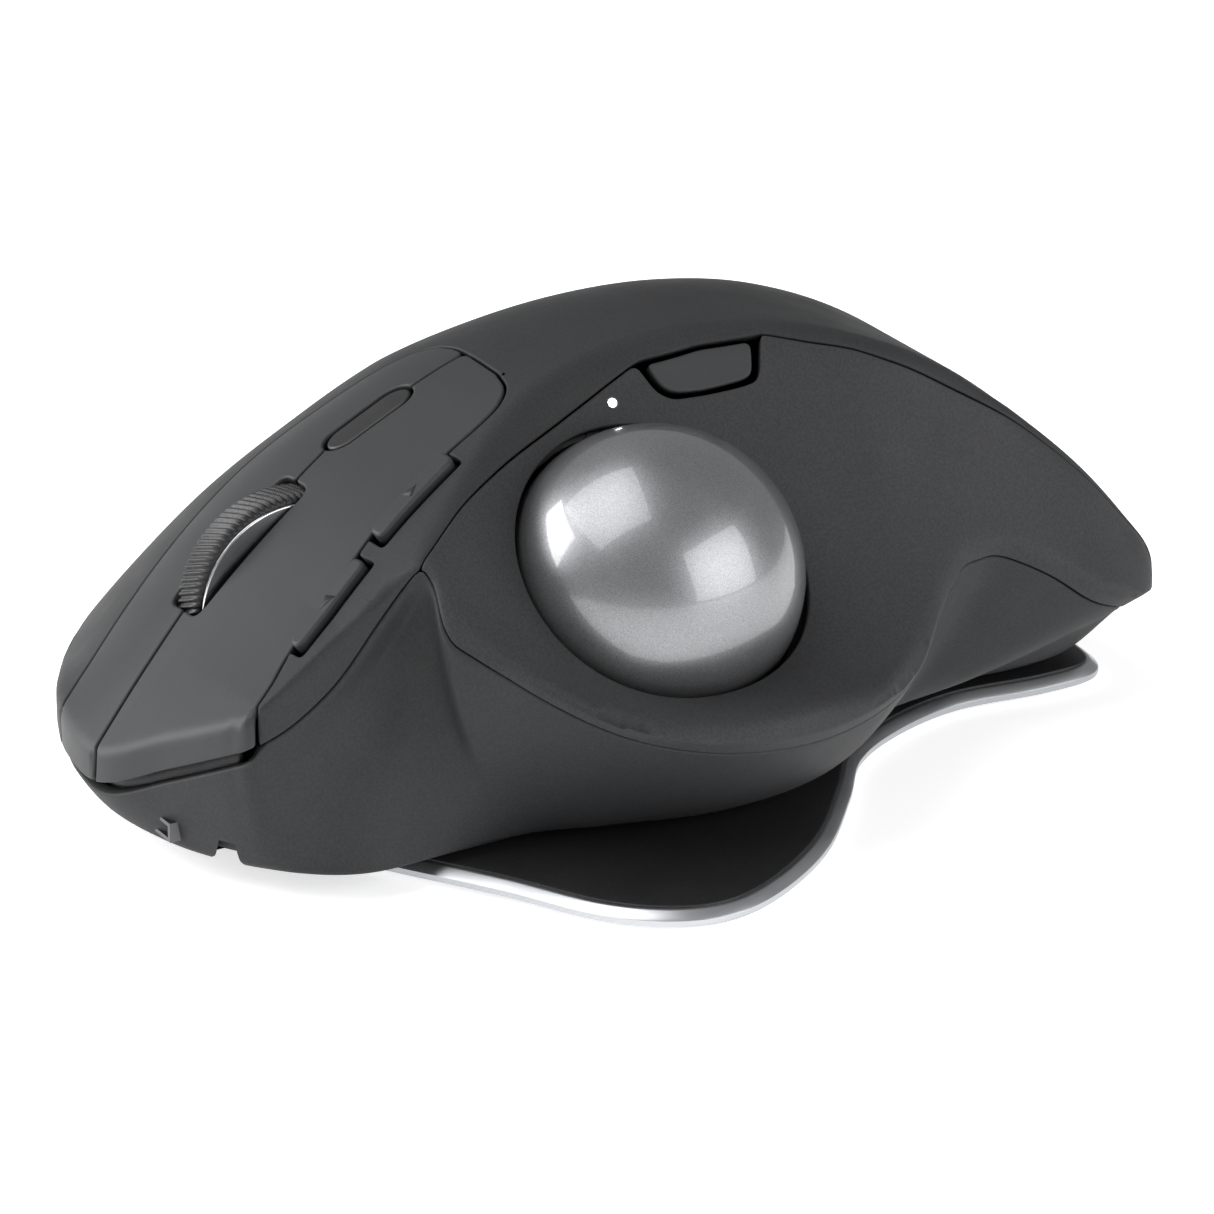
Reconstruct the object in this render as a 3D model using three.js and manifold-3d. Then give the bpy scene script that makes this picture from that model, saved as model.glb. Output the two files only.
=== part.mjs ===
// Thumb trackball mouse on a tilting steel base plate.
// Millimetres, +Z up, +Y towards the button end, the thumb and the ball on the -X side.
// The origin is the middle of the footprint, on the desk.

import * as THREE from 'three';
import { mergeVertices } from 'three/addons/utils/BufferGeometryUtils.js';
import Module from 'manifold-3d';

const wasm = await Module();
wasm.setup();

// ---------------------------------------------------------------- driving dimensions

const WALL = 2.2; // shell wall thickness
const GAP = 0.3; // gap between neighbouring panels
const FLOOR_Z = 3.5; // flat part of the underside
const KEEL_X = 22; // line the mouse rocks about, along Y
const KEEL_SLOPE = Math.tan(THREE.MathUtils.degToRad(21));

const BALL_RADIUS = 17;
const BALL_CENTRE = new THREE.Vector3(-21.8, 5.6, 29.6);
const BALL_FACING = new THREE.Vector3(-0.79, 0.17, 0.585).normalize();
const BALL_CLEARANCE = 0.6;

const WHEEL_RADIUS = 12.5;
const TYRE_WIDTH = 4.6;
const WHEEL_CENTRE = new THREE.Vector3(5.3, 37.6, 24.5);
const WHEEL_UP = new THREE.Vector3(0, 0.62, 0.785).normalize();

const PLATE_BOTTOM = 0.5;
const PLATE_TOP = 2.3;

// Crown line: height of the top along Y.
const CROWN = [
  [-66.3, 15], [-62, 20.4], [-56, 27.6], [-47, 36.3], [-37, 44.2], [-27, 48.8], [-16, 51.1],
  [-6, 51.4], [5, 50.2], [15, 47.8], [25, 43.4], [35.5, 37.6], [43, 32], [51, 25],
  [58, 18.6], [64, 12.8],
];
// Where the top has fallen to the right-hand rim, along Y.
const RIGHT_EDGE = [
  [-66.3, 10], [-64, 16], [-59.5, 25], [-48, 37], [-33, 45], [-14, 49], [5, 49.9],
  [23, 48.5], [39, 44], [50, 36], [57, 27], [64, 20],
];
// Thumb rest: height along its middle line X = PANEL_X, and its slope across, along Y.
const PANEL_X = -24;
const PANEL_CURVE = 0.02;
const PANEL_HEIGHT = [
  [-66, 7], [-60, 13.5], [-53, 21], [-46, 25.5], [-36, 28], [-30.5, 30.6], [-26, 32],
  [-20.5, 31.8], [-13.5, 31], [-5, 30.2], [4, 29.8], [12.5, 30.4], [20.5, 32],
  [28.5, 35.2], [34, 37.2], [37, 39.5], [40, 44], [46, 60], [64, 92],
];
const PANEL_SLOPE = [[-66, 1.8], [-36, 1.75], [-26, 1.25], [-16, 1], [40, 1]];
// Widest outline of the body: x, y and its height.
const RIM = [
  [0, 63.9, 9], [8, 63.5, 8.8], [16, 61, 9], [26, 56, 11], [36, 50, 13.5], [44, 39, 16],
  [49, 23, 18], [51.6, 5, 18.5], [50.2, -14, 18.5], [45, -33, 18], [37, -48, 16.5],
  [25, -59.5, 15], [12, -65.3, 14], [0, -66.25, 13.3], [-12, -66, 13], [-19.5, -63.5, 13.5],
  [-24.5, -58.5, 15.5], [-26.3, -52, 18.5], [-26, -46, 22.5], [-25, -40, 25.5],
  [-25.3, -35.8, 26], [-28.5, -30.5, 25], [-33, -26, 23.5], [-38.5, -20.5, 21],
  [-43, -13.5, 19.5], [-45.5, -5, 18.5], [-45.7, 4, 18.5], [-43.7, 12.5, 19.5],
  [-40.4, 20.5, 22], [-35.3, 28.5, 27], [-29.3, 34, 33], [-23.4, 35.8, 37],
  [-22.3, 40, 31.5], [-21.7, 45.8, 24.4], [-21.4, 50.5, 21], [-20.4, 55, 18.8],
  [-18.3, 56.4, 17.6], [-15.3, 57.8, 16.1], [-10, 60, 13.5],
];
// Outline where the side walls meet the underside.
const FOOT = [
  [0, 60.5], [12, 59], [26, 53], [36, 45], [42, 30], [44, 10], [43, -12], [38, -32],
  [29, -48], [16, -58], [2, -61], [-10, -59], [-13.5, -50.5], [-12.8, -40], [-15, -32.5],
  [-23.5, -20], [-29.3, -8], [-30.5, 4], [-28, 15.5], [-25.5, 27], [-25.5, 35], [-25.5, 43],
  [-22, 50], [-13, 57],
];
// Outline of the steel base plate.
const PLATE = [
  [-10, 45], [-20, 38.6], [-32, 30.8], [-43, 24.5], [-48.6, 17.9], [-49.9, 10.9],
  [-46.7, 2.6], [-40, -6.7], [-30.2, -15.5], [-21.9, -22.2], [-16.9, -30.6],
  [-14.3, -40.5], [-15.2, -52], [-14.2, -59.5], [-9, -62], [3, -61.5], [13, -55],
  [20, -40], [24, -20], [25.5, 5], [24, 28], [17, 42], [4, 48],
];

// ---------------------------------------------------------------- curves and the body shape

function curve(points) {
  const n = points.length;
  const slope = [];
  for (let i = 0; i < n - 1; i++) {
    slope.push((points[i + 1][1] - points[i][1]) / (points[i + 1][0] - points[i][0]));
  }
  const tangent = [slope[0]];
  for (let i = 1; i < n - 1; i++) {
    const before = points[i][0] - points[i - 1][0];
    const after = points[i + 1][0] - points[i][0];
    tangent.push((slope[i - 1] * after + slope[i] * before) / (before + after));
  }
  tangent.push(slope[n - 2]);
  return (value) => {
    const t = THREE.MathUtils.clamp(value, points[0][0], points[n - 1][0]);
    let i = 0;
    while (i < n - 2 && t > points[i + 1][0]) i++;
    const h = points[i + 1][0] - points[i][0];
    const u = (t - points[i][0]) / h;
    const u2 = u * u;
    const u3 = u2 * u;
    return (2 * u3 - 3 * u2 + 1) * points[i][1] + (u3 - 2 * u2 + u) * h * tangent[i]
      + (3 * u2 - 2 * u3) * points[i + 1][1] + (u3 - u2) * h * tangent[i + 1];
  };
}

const degrees = (x, y) => (THREE.MathUtils.radToDeg(Math.atan2(y, x)) + 360) % 360;

function aroundCurve(points, value) {
  const turn = points.map((p) => [degrees(p[0], p[1]), value(p)]).sort((a, b) => a[0] - b[0]);
  const n = turn.length;
  const before = turn.slice(n - 3).map((p) => [p[0] - 360, p[1]]);
  const after = turn.slice(0, 3).map((p) => [p[0] + 360, p[1]]);
  return curve([...before, ...turn, ...after]);
}

const crown = curve(CROWN);
const rightEdge = curve(RIGHT_EDGE);
const panelHeight = curve(PANEL_HEIGHT);
const panelSlope = curve(PANEL_SLOPE);
const rimRadius = aroundCurve(RIM, (p) => Math.hypot(p[0], p[1]));
const rimHeight = aroundCurve(RIM, (p) => p[2]);
const footRadius = aroundCurve(FOOT, (p) => Math.hypot(p[0], p[1]));

function smoothMin(a, b, k) {
  const h = THREE.MathUtils.clamp(0.5 + (0.5 * (b - a)) / k, 0, 1);
  return b * (1 - h) + a * h - k * h * (1 - h);
}
const smoothMax = (a, b, k) => -smoothMin(-a, -b, k);

function topHeight(x, y) {
  const middle = crown(y);
  const across = THREE.MathUtils.clamp((x - 3) / (rightEdge(y) - 3), 0, 1.3);
  const front = THREE.MathUtils.clamp((y - 15) / 35, 0, 1);
  const fall = middle - 16 + 6 * front;
  const frontLift = THREE.MathUtils.clamp((y - 44) / 10, 0, 1);
  const lift = 0.07 * THREE.MathUtils.clamp(-x, 0, 30) * frontLift;
  return middle - Math.max(fall, middle * 0.2) * across ** (2.2 - 0.3 * front) + lift;
}

function panelZ(x, y) {
  const d = Math.max(x - PANEL_X, -25);
  const dish = Math.exp(-(((x + 35) / 5) ** 2) - ((y - 7) / 11) ** 2);
  return panelHeight(y) + panelSlope(y) * d + PANEL_CURVE * d * d - dish;
}

function wallRadius(angle, z) {
  const foot = footRadius(angle);
  const u = THREE.MathUtils.clamp((z - 4) / (rimHeight(angle) - 4), -0.5, 1);
  return foot + (rimRadius(angle) - foot) * Math.sign(u) * Math.abs(u) ** 0.7;
}

const keelZ = (x) => FLOOR_Z + Math.max(x - KEEL_X + 1, 0) * KEEL_SLOPE;

// Roughly the signed distance to the outer skin, negative inside.
function bodyField(x, y, z) {
  const top = (z - topHeight(x, y)) * 0.72;
  const panel = (z - panelZ(x, y)) * 0.66;
  const upper = smoothMax(top, panel, 2.2);
  const wall = (Math.hypot(x, y) - wallRadius(degrees(x, y), z)) * 0.8;
  const edge = 1.6 - 0.9 * THREE.MathUtils.clamp((y - 48) / 6, 0, 1);
  return smoothMax(smoothMax(upper, wall, edge), keelZ(x) - z, 0.8);
}

// Height of the upper skin over a point, or of the skin sunk by a depth.
function skinZ(x, y, depth = 0) {
  let low = 5;
  let high = 60;
  for (let i = 0; i < 40; i++) {
    const mid = (low + high) / 2;
    if (bodyField(x, y, mid) + depth < 0) low = mid;
    else high = mid;
  }
  return low;
}

// Height of the seam between the lower case and the pieces above it.
function seamZ(angle) {
  const thumbSide = THREE.MathUtils.smoothstep(angle, 124, 136);
  const backToFront = 1 - THREE.MathUtils.smoothstep(angle, 330, 350);
  return rimHeight(angle) - 1.8 * thumbSide * backToFront;
}

// ---------------------------------------------------------------- solids

function solid(geometry) {
  const plain = geometry.clone();
  plain.deleteAttribute('normal');
  plain.deleteAttribute('uv');
  const joined = mergeVertices(plain, 1e-4);
  const mesh = new wasm.Mesh({
    numProp: 3,
    vertProperties: new Float32Array(joined.attributes.position.array),
    triVerts: new Uint32Array(joined.index.array),
  });
  return new wasm.Manifold(mesh);
}

// The solid's main body as a geometry; slivers cut loose by a boolean are dropped.
function geometryOf(manifold) {
  const mesh = manifold.getMesh();
  const stride = mesh.numProp;
  const count = mesh.vertProperties.length / stride;
  const owner = Array.from({ length: count }, (_, i) => i);
  const find = (i) => {
    let k = i;
    while (owner[k] !== k) {
      owner[k] = owner[owner[k]];
      k = owner[k];
    }
    return k;
  };
  const tri = mesh.triVerts;
  for (let i = 0; i < tri.length; i += 3) {
    owner[find(tri[i])] = find(tri[i + 1]);
    owner[find(tri[i + 1])] = find(tri[i + 2]);
  }
  const size = new Map();
  for (let i = 0; i < tri.length; i += 3) {
    const root = find(tri[i]);
    size.set(root, (size.get(root) ?? 0) + 1);
  }
  const main = [...size].sort((a, b) => b[1] - a[1])[0][0];
  const positions = [];
  const index = [];
  const renamed = new Map();
  for (const corner of tri) {
    if (find(corner) !== main) continue;
    if (!renamed.has(corner)) {
      renamed.set(corner, positions.length / 3);
      for (let k = 0; k < 3; k++) positions.push(mesh.vertProperties[corner * stride + k]);
    }
    index.push(renamed.get(corner));
  }
  const geometry = new THREE.BufferGeometry();
  geometry.setAttribute('position', new THREE.Float32BufferAttribute(positions, 3));
  geometry.setIndex(index);
  geometry.computeVertexNormals();
  return geometry;
}

// Bearings around the body, closer together where its outline turns sharply.
function bearings(step) {
  const list = [];
  let angle = 0;
  while (angle < 359.9) {
    list.push(angle);
    const tight = (angle >= 97.5 && angle < 142.5) || (angle >= 225 && angle < 255);
    angle += tight ? step / 2 : step;
  }
  return list;
}

// The outline where the wall meets the underside, as a radius and a height.
function footPoint(angle) {
  const a = THREE.MathUtils.degToRad(angle);
  let radius = footRadius(angle);
  let z = FLOOR_Z;
  for (let i = 0; i < 8; i++) {
    z = keelZ(radius * Math.cos(a));
    radius = wallRadius(angle, z);
  }
  return [radius, z];
}

const MIDDLE_Z = 24;
const FINE = {
  step: 5, floor: 2, wall: [0.25, 0.5, 0.75],
  top: [0.03, 0.09, 0.18, 0.29, 0.41, 0.54, 0.68, 0.84],
};
const COARSE = { step: 7.5, floor: 2, wall: [0.5], top: [0.06, 0.2, 0.38, 0.58, 0.79] };

// A closed skin, in rows that follow the foot outline and the rim, found by looking outwards
// from the middle of the body.
function skinSolid(rows, depth) {
  const turns = bearings(rows.step);
  const positions = [];
  const cast = (angle, rise) => {
    const a = THREE.MathUtils.degToRad(angle);
    const ray = new THREE.Vector3(
      Math.cos(a) * Math.cos(rise), Math.sin(a) * Math.cos(rise), Math.sin(rise));
    let low = 1;
    let high = 95;
    for (let k = 0; k < 40; k++) {
      const mid = (low + high) / 2;
      const z = MIDDLE_Z + ray.z * mid;
      if (bodyField(ray.x * mid, ray.y * mid, z) + depth < 0) low = mid;
      else high = mid;
    }
    positions.push(ray.x * low, ray.y * low, MIDDLE_Z + ray.z * low);
  };
  cast(0, -Math.PI / 2);
  for (const angle of turns) {
    const a = THREE.MathUtils.degToRad(angle);
    const [footR, footZ] = footPoint(angle);
    const keelR = Math.cos(a) > 0.35 ? (KEEL_X - 1) / Math.cos(a) : footR * 0.5;
    for (let k = 0; k < rows.floor; k++) {
      const r = THREE.MathUtils.lerp(Math.min(keelR, footR * 0.85), footR, k / rows.floor);
      cast(angle, Math.atan2(keelZ(r * Math.cos(a)) - MIDDLE_Z, r));
    }
    const foot = Math.atan2(footZ - MIDDLE_Z, footR);
    const rim = Math.atan2(rimHeight(angle) - MIDDLE_Z, rimRadius(angle));
    cast(angle, foot);
    for (const part of rows.wall) cast(angle, THREE.MathUtils.lerp(foot, rim, part));
    cast(angle, rim);
    for (const part of rows.top) cast(angle, THREE.MathUtils.lerp(rim, Math.PI / 2, part));
  }
  cast(0, Math.PI / 2);
  const perTurn = rows.floor + rows.wall.length + rows.top.length + 2;
  const last = positions.length / 3 - 1;
  const index = [];
  turns.forEach((_, i) => {
    const a = 1 + i * perTurn;
    const b = 1 + ((i + 1) % turns.length) * perTurn;
    index.push(0, b, a);
    for (let k = 0; k < perTurn - 1; k++) {
      index.push(a + k, b + k, b + k + 1, a + k, b + k + 1, a + k + 1);
    }
    index.push(a + perTurn - 1, b + perTurn - 1, last);
  });
  const geometry = new THREE.BufferGeometry();
  geometry.setAttribute('position', new THREE.Float32BufferAttribute(positions, 3));
  geometry.setIndex(index);
  return solid(geometry);
}

// Everything under a height that follows the seam, shifted by a distance.
function underSeam(shift, heightAt = seamZ) {
  const turns = bearings(5);
  const steps = turns.length;
  const shape = [];
  const index = [];
  const bottom = -30;
  for (let i = 0; i < steps; i++) {
    const angle = turns[i];
    const a = THREE.MathUtils.degToRad(angle);
    const z = heightAt(angle) + shift;
    for (const [radius, height] of [[110, bottom], [110, z], [6, z]]) {
      shape.push(radius * Math.cos(a), radius * Math.sin(a), height);
    }
  }
  shape.push(0, 0, bottom, 0, 0, 16);
  const low = steps * 3;
  const high = low + 1;
  for (let i = 0; i < steps; i++) {
    const a = i * 3;
    const b = ((i + 1) % steps) * 3;
    index.push(low, b, a);
    index.push(a, b, b + 1, a, b + 1, a + 1);
    index.push(a + 1, b + 1, b + 2, a + 1, b + 2, a + 2);
    index.push(a + 2, b + 2, high);
  }
  const geometry = new THREE.BufferGeometry();
  geometry.setAttribute('position', new THREE.Float32BufferAttribute(shape, 3));
  geometry.setIndex(index);
  return solid(geometry);
}

// Moves the sides of an outline inwards (negative) or outwards (positive).
function offsetOutline(points, distance) {
  const n = points.length;
  const area = points.reduce((sum, p, i) => {
    const q = points[(i + 1) % n];
    return sum + p[0] * q[1] - q[0] * p[1];
  }, 0);
  const side = Math.sign(area) * distance;
  return points.map((p, i) => {
    const a = points[(i + n - 1) % n];
    const b = points[(i + 1) % n];
    const before = new THREE.Vector2(p[1] - a[1], a[0] - p[0]).normalize();
    const after = new THREE.Vector2(b[1] - p[1], p[0] - b[0]).normalize();
    const out = before.clone().add(after);
    const scale = side / Math.max(out.lengthSq() / 2, 0.3);
    return [p[0] + out.x * scale, p[1] + out.y * scale];
  });
}

function shapeOf(points) {
  return new THREE.Shape(points.map((p) => new THREE.Vector2(p[0], p[1])));
}

function slab(points, low, high) {
  const options = { depth: high - low, bevelEnabled: false };
  const geometry = new THREE.ExtrudeGeometry(shapeOf(points), options);
  return geometry.translate(0, 0, low);
}

const column = (points) => solid(slab(points, -5, 70));

// A frame whose Z axis runs along a direction.
function aim(geometry, centre, direction, roll = 0) {
  const turn = new THREE.Quaternion().setFromUnitVectors(new THREE.Vector3(0, 0, 1), direction);
  geometry.rotateZ(roll);
  geometry.applyQuaternion(turn);
  return geometry.translate(centre.x, centre.y, centre.z);
}

function box(x0, x1, y0, y1, z0, z1) {
  const geometry = new THREE.BoxGeometry(x1 - x0, y1 - y0, z1 - z0);
  return geometry.translate((x0 + x1) / 2, (y0 + y1) / 2, (z0 + z1) / 2);
}

// A rod or a disc with its middle at a point and its axis along a direction.
function rod(radius, length, centre, direction, sides = 32) {
  const geometry = new THREE.CylinderGeometry(radius, radius, length, sides);
  geometry.rotateX(Math.PI / 2);
  return aim(geometry, centre, direction);
}

function ball(radius, centre, detail) {
  const geometry = new THREE.IcosahedronGeometry(radius, detail);
  return geometry.translate(centre.x, centre.y, centre.z);
}

const along = (origin, direction, distance) => origin.clone().addScaledVector(direction, distance);

function smoothOutline(points, count) {
  const loop = new THREE.CatmullRomCurve3(
    points.map((p) => new THREE.Vector3(p[0], p[1], 0)), true, 'centripetal');
  return loop.getSpacedPoints(count).slice(0, count).map((p) => [p.x, p.y]);
}

function ovalOutline(x, y, halfX, halfY, count) {
  const straight = halfY - halfX;
  const points = [];
  for (let i = 0; i < count; i++) {
    const a = (2 * Math.PI * (i + 0.5)) / count;
    const shift = Math.sin(a) > 0 ? straight : -straight;
    points.push([x + halfX * Math.cos(a), y + halfX * Math.sin(a) + shift]);
  }
  return points;
}

function roundedOutline(x, y, halfX, halfY, radius) {
  const points = [];
  for (let corner = 0; corner < 4; corner++) {
    const sideX = corner === 0 || corner === 3 ? 1 : -1;
    const sideY = corner < 2 ? 1 : -1;
    for (let k = 0; k <= 3; k++) {
      const a = (Math.PI / 2) * (corner + k / 3);
      const px = x + sideX * (halfX - radius) + radius * Math.cos(a);
      const py = y + sideY * (halfY - radius) + radius * Math.sin(a);
      points.push([px, py]);
    }
  }
  return points;
}

// ---------------------------------------------------------------- materials and the tree

const graphite = { color: 0x3c3d40, roughness: 0.62, metalness: 0 };
const graphiteDark = { color: 0x2c2d30, roughness: 0.7, metalness: 0 };
const keycap = { color: 0x434447, roughness: 0.5, metalness: 0 };
const black = { color: 0x101012, roughness: 0.55, metalness: 0 };
const rubber = { color: 0x17171a, roughness: 0.85, metalness: 0 };
const steel = { color: 0xb4b6ba, roughness: 0.32, metalness: 1 };
const chrome = { color: 0xd8dadd, roughness: 0.12, metalness: 1 };
const circuit = { color: 0x14402a, roughness: 0.6, metalness: 0 };

const mouse = new THREE.Group();
mouse.name = 'trackball_mouse';
const groups = {};
for (const name of ['base', 'body', 'ball', 'keys', 'wheel', 'inside']) {
  groups[name] = new THREE.Group();
  groups[name].name = name;
  mouse.add(groups[name]);
}

function add(group, name, geometry, look) {
  const mesh = new THREE.Mesh(geometry, new THREE.MeshStandardMaterial(look));
  mesh.name = name;
  groups[group].add(mesh);
  return mesh;
}

// ---------------------------------------------------------------- base plate and tilt hinge

const plateOutline = smoothOutline(PLATE, 72);
const plateOptions = {
  depth: PLATE_TOP - PLATE_BOTTOM - 0.8,
  bevelEnabled: true,
  bevelThickness: 0.4,
  bevelSize: 0.4,
  bevelSegments: 1,
};
const plateGeometry = new THREE.ExtrudeGeometry(
  shapeOf(offsetOutline(plateOutline, -0.4)), plateOptions);
plateGeometry.translate(0, 0, PLATE_BOTTOM + 0.4);
add('base', 'base_plate', geometryOf(solid(plateGeometry)), steel);
add('base', 'plate_cover', slab(offsetOutline(plateOutline, -1.5), PLATE_TOP + 0.02, 2.55), black);
add('base', 'base_pad', slab(offsetOutline(plateOutline, -2.2), 0, PLATE_BOTTOM - 0.02), rubber);

const hingeAxis = new THREE.Vector3(0, 1, 0);
const hingeCentre = new THREE.Vector3(KEEL_X, 0, 4.9);
const knuckle = (y, length) => {
  const centre = new THREE.Vector3(KEEL_X, y, hingeCentre.z);
  return solid(rod(1.6, length, centre, hingeAxis, 20));
};
const pinHole = solid(rod(0.95, 60, hingeCentre, hingeAxis, 20));
let bracket = solid(box(KEEL_X - 3, KEEL_X + 3, -24, 24, 2.57, 3));
for (const y of [-18, 0, 18]) {
  const post = box(KEEL_X - 1.3, KEEL_X + 1.3, y - 3, y + 3, 2.9, 4.9);
  bracket = bracket.add(solid(post)).add(knuckle(y, 6));
}
add('base', 'hinge_bracket', geometryOf(bracket.subtract(pinHole)), steel);
add('base', 'hinge_pin', rod(0.85, 46, hingeCentre, hingeAxis, 20), chrome);

let arm = solid(box(KEEL_X - 3, KEEL_X + 3, -22, 22, 7.9, 9.2));
for (const y of [-9, 9]) {
  const post = box(KEEL_X - 1.3, KEEL_X + 1.3, y - 4, y + 4, 4.9, 8);
  arm = arm.add(solid(post)).add(knuckle(y, 8));
}
add('inside', 'hinge_arm', geometryOf(arm.subtract(pinHole)), steel);

// ---------------------------------------------------------------- shells

const outer = skinSolid(FINE, 0);
const inner = skinSolid(COARSE, WALL);
const shell = outer.subtract(inner);
const lower = underSeam(-GAP / 2);
const frontGap = (angle) => {
  const front = THREE.MathUtils.smoothstep(angle, 62, 66)
    * (1 - THREE.MathUtils.smoothstep(angle, 111, 113));
  return seamZ(angle) - 1.5 * front;
};
const lowerFront = underSeam(-GAP / 2, frontGap);
const upperShell = shell.subtract(underSeam(GAP / 2));

const LEFT_KEY = [
  [-21, 60], [-19.9, 54], [-17.2, 48.4], [-15, 41.5], [-12.6, 35.8], [-10.6, 30],
  [-8.8, 22.5], [-7, 17.2], [-4.5, 14.4], [-1, 13.2], [6.8, 13.2], [6.8, 31], [4.6, 36],
  [4.6, 51], [0.4, 64], [0.4, 70], [-21, 70],
];
const RIGHT_KEY = [
  [12.6, 70], [12.6, 62.5], [15.3, 58.4], [18.6, 53], [20.6, 47], [21.6, 39], [21, 30],
  [18.6, 21], [15.5, 15.8], [12.5, 13.6], [9.5, 13.2], [7.1, 13.2], [7.1, 31], [4.9, 36],
  [4.9, 51], [0.7, 64],
  [0.7, 70],
];
const THUMB = [
  [-22.9, 35.6], [-19.9, 30.6], [-17, 25.8], [-13.5, 18.9], [-10.6, 11], [-8.7, 4.7],
  [-7.7, -1], [-8, -8], [-9.1, -15], [-10.9, -20], [-12.8, -25.4], [-14.8, -30.9],
  [-16.4, -36.7], [-17.9, -42.6], [-18.6, -48], [-18.4, -57], [-17, -70], [-80, -70],
  [-80, 60], [-30, 42],
];
const wheelSlot = column(roundedOutline(WHEEL_CENTRE.x, 42.9, 3.2, 8.4, 1.6));
const modeSlot = column(ovalOutline(7, 25.8, 2.5, 5.6, 20));

const BACK_KEY = [[-14.6, 38.7], [-17.1, 48], [-18.7, 47.8], [-16.6, 38.7]];
const FORWARD_KEY = [[-9.6, 25.4], [-13.1, 35.9], [-15.4, 35.7], [-12.2, 25.2]];

const wheelAxis = new THREE.Vector3(1, 0, 0);
const wheelRoom = solid(rod(WHEEL_RADIUS + 0.9, 6.2, WHEEL_CENTRE, wheelAxis, 48));
const keyCut = (points, by) => column(offsetOutline(points, by));
let palm = upperShell
  .subtract(keyCut(LEFT_KEY, GAP / 2))
  .subtract(keyCut(RIGHT_KEY, GAP / 2))
  .subtract(keyCut(THUMB, GAP / 2))
  .subtract(keyCut(BACK_KEY, GAP))
  .subtract(keyCut(FORWARD_KEY, GAP));

const precisionFacing = new THREE.Vector3(-0.8, 0.08, 0.59).normalize();
const precisionCentre = new THREE.Vector3(-9.9, -7.6, 47.6);
function precisionBlock(grow) {
  const outline = [
    [-1.9, -5.9], [1.2, -7.1], [2.1, -1.1], [2.1, 5.8], [-0.7, 4.9], [-1.6, 3.9],
    [-1.9, 0.9], [-2.3, -4.5],
  ];
  const geometry = slab(offsetOutline(outline, grow), -9, 9);
  return solid(aim(geometry, precisionCentre, precisionFacing, 0));
}
const lampCentre = new THREE.Vector3(-9.6, 3.6, skinZ(-9.6, 3.6));
const lampHole = solid(rod(0.95, 14, lampCentre, precisionFacing, 16));
palm = palm.subtract(precisionBlock(GAP + 0.1)).subtract(lampHole);
add('body', 'palm_shell', geometryOf(palm), graphite);

const ballRoom = solid(ball(BALL_RADIUS + BALL_CLEARANCE, BALL_CENTRE, 6));
const thumb = upperShell
  .intersect(keyCut(THUMB, -GAP / 2))
  .subtract(ballRoom)
  .subtract(precisionBlock(GAP + 0.1))
  .subtract(lampHole);
add('body', 'thumb_rest', geometryOf(thumb), graphite);

const hingeWindow = solid(box(KEEL_X - 4, KEEL_X + 5, -25, 25, -1, 10));
const portHole = solid(box(-10.6, -3.2, 52, 68, 4.7, 7.5));
const sliderHole = solid(box(-17, -11.5, 49, 56.5, -1, 6.5));
let lowerCase = shell.intersect(lowerFront)
  .subtract(hingeWindow).subtract(portHole).subtract(sliderHole).subtract(ballRoom);
const screwSpots = [[-14, 32], [12, 34], [-8, -46], [12, -44]];
for (const [x, y] of screwSpots) {
  const centre = new THREE.Vector3(x, y, 4);
  lowerCase = lowerCase.subtract(solid(rod(1.7, 8, centre, new THREE.Vector3(0, 0, 1), 16)));
}
add('body', 'lower_case', geometryOf(lowerCase), graphiteDark);

const bumperOuter = skinSolid(COARSE, WALL + 0.4);
const bumperInner = skinSolid(COARSE, WALL + 1.6);
const bumperBand = underSeam(-1.5).subtract(underSeam(-3.4));
const bumperFront = column([[-19, 50.5], [16, 50.5], [16, 80], [-19, 80]]);
const bumper = bumperOuter.subtract(bumperInner).intersect(bumperBand).intersect(bumperFront);
add('body', 'front_bumper', geometryOf(bumper), black);

// ---------------------------------------------------------------- keys

const leftKey = upperShell
  .intersect(keyCut(LEFT_KEY, -GAP / 2))
  .subtract(keyCut(BACK_KEY, GAP)).subtract(keyCut(FORWARD_KEY, GAP))
  .subtract(wheelSlot).subtract(modeSlot).subtract(wheelRoom);
add('keys', 'left_button', geometryOf(leftKey), keycap);
const rightKey = upperShell
  .intersect(keyCut(RIGHT_KEY, -GAP / 2))
  .subtract(wheelSlot).subtract(modeSlot).subtract(wheelRoom);
add('keys', 'right_button', geometryOf(rightKey), keycap);

// A slab that follows the skin over an outline, from one depth to another.
function skinSlab(points, upperDepth, lowerDepth) {
  const detail = 6;
  const above = skinPatch(points, upperDepth, detail);
  const below = skinPatch(offsetOutline(points, 0.6), lowerDepth, detail);
  return above.subtract(below);
}
function skinPatch(points, depth, detail) {
  const xs = points.map((p) => p[0]);
  const ys = points.map((p) => p[1]);
  const x0 = Math.min(...xs) - 1;
  const x1 = Math.max(...xs) + 1;
  const y0 = Math.min(...ys) - 1;
  const y1 = Math.max(...ys) + 1;
  const geometry = new THREE.BoxGeometry(x1 - x0, y1 - y0, 40, detail, detail, 1);
  geometry.translate((x0 + x1) / 2, (y0 + y1) / 2, 0);
  const position = geometry.attributes.position;
  for (let i = 0; i < position.count; i++) {
    if (position.getZ(i) < 0) continue;
    position.setZ(i, skinZ(position.getX(i), position.getY(i), depth));
  }
  return solid(geometry).intersect(column(points));
}
const backKey = skinSlab(BACK_KEY, -0.7, 2.2);
add('keys', 'back_button', geometryOf(backKey), keycap);
const forwardKey = skinSlab(FORWARD_KEY, -0.7, 2.2);
add('keys', 'forward_button', geometryOf(forwardKey), keycap);
const modeOutline = ovalOutline(7, 25.8, 2.1, 5.2, 20);
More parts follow.
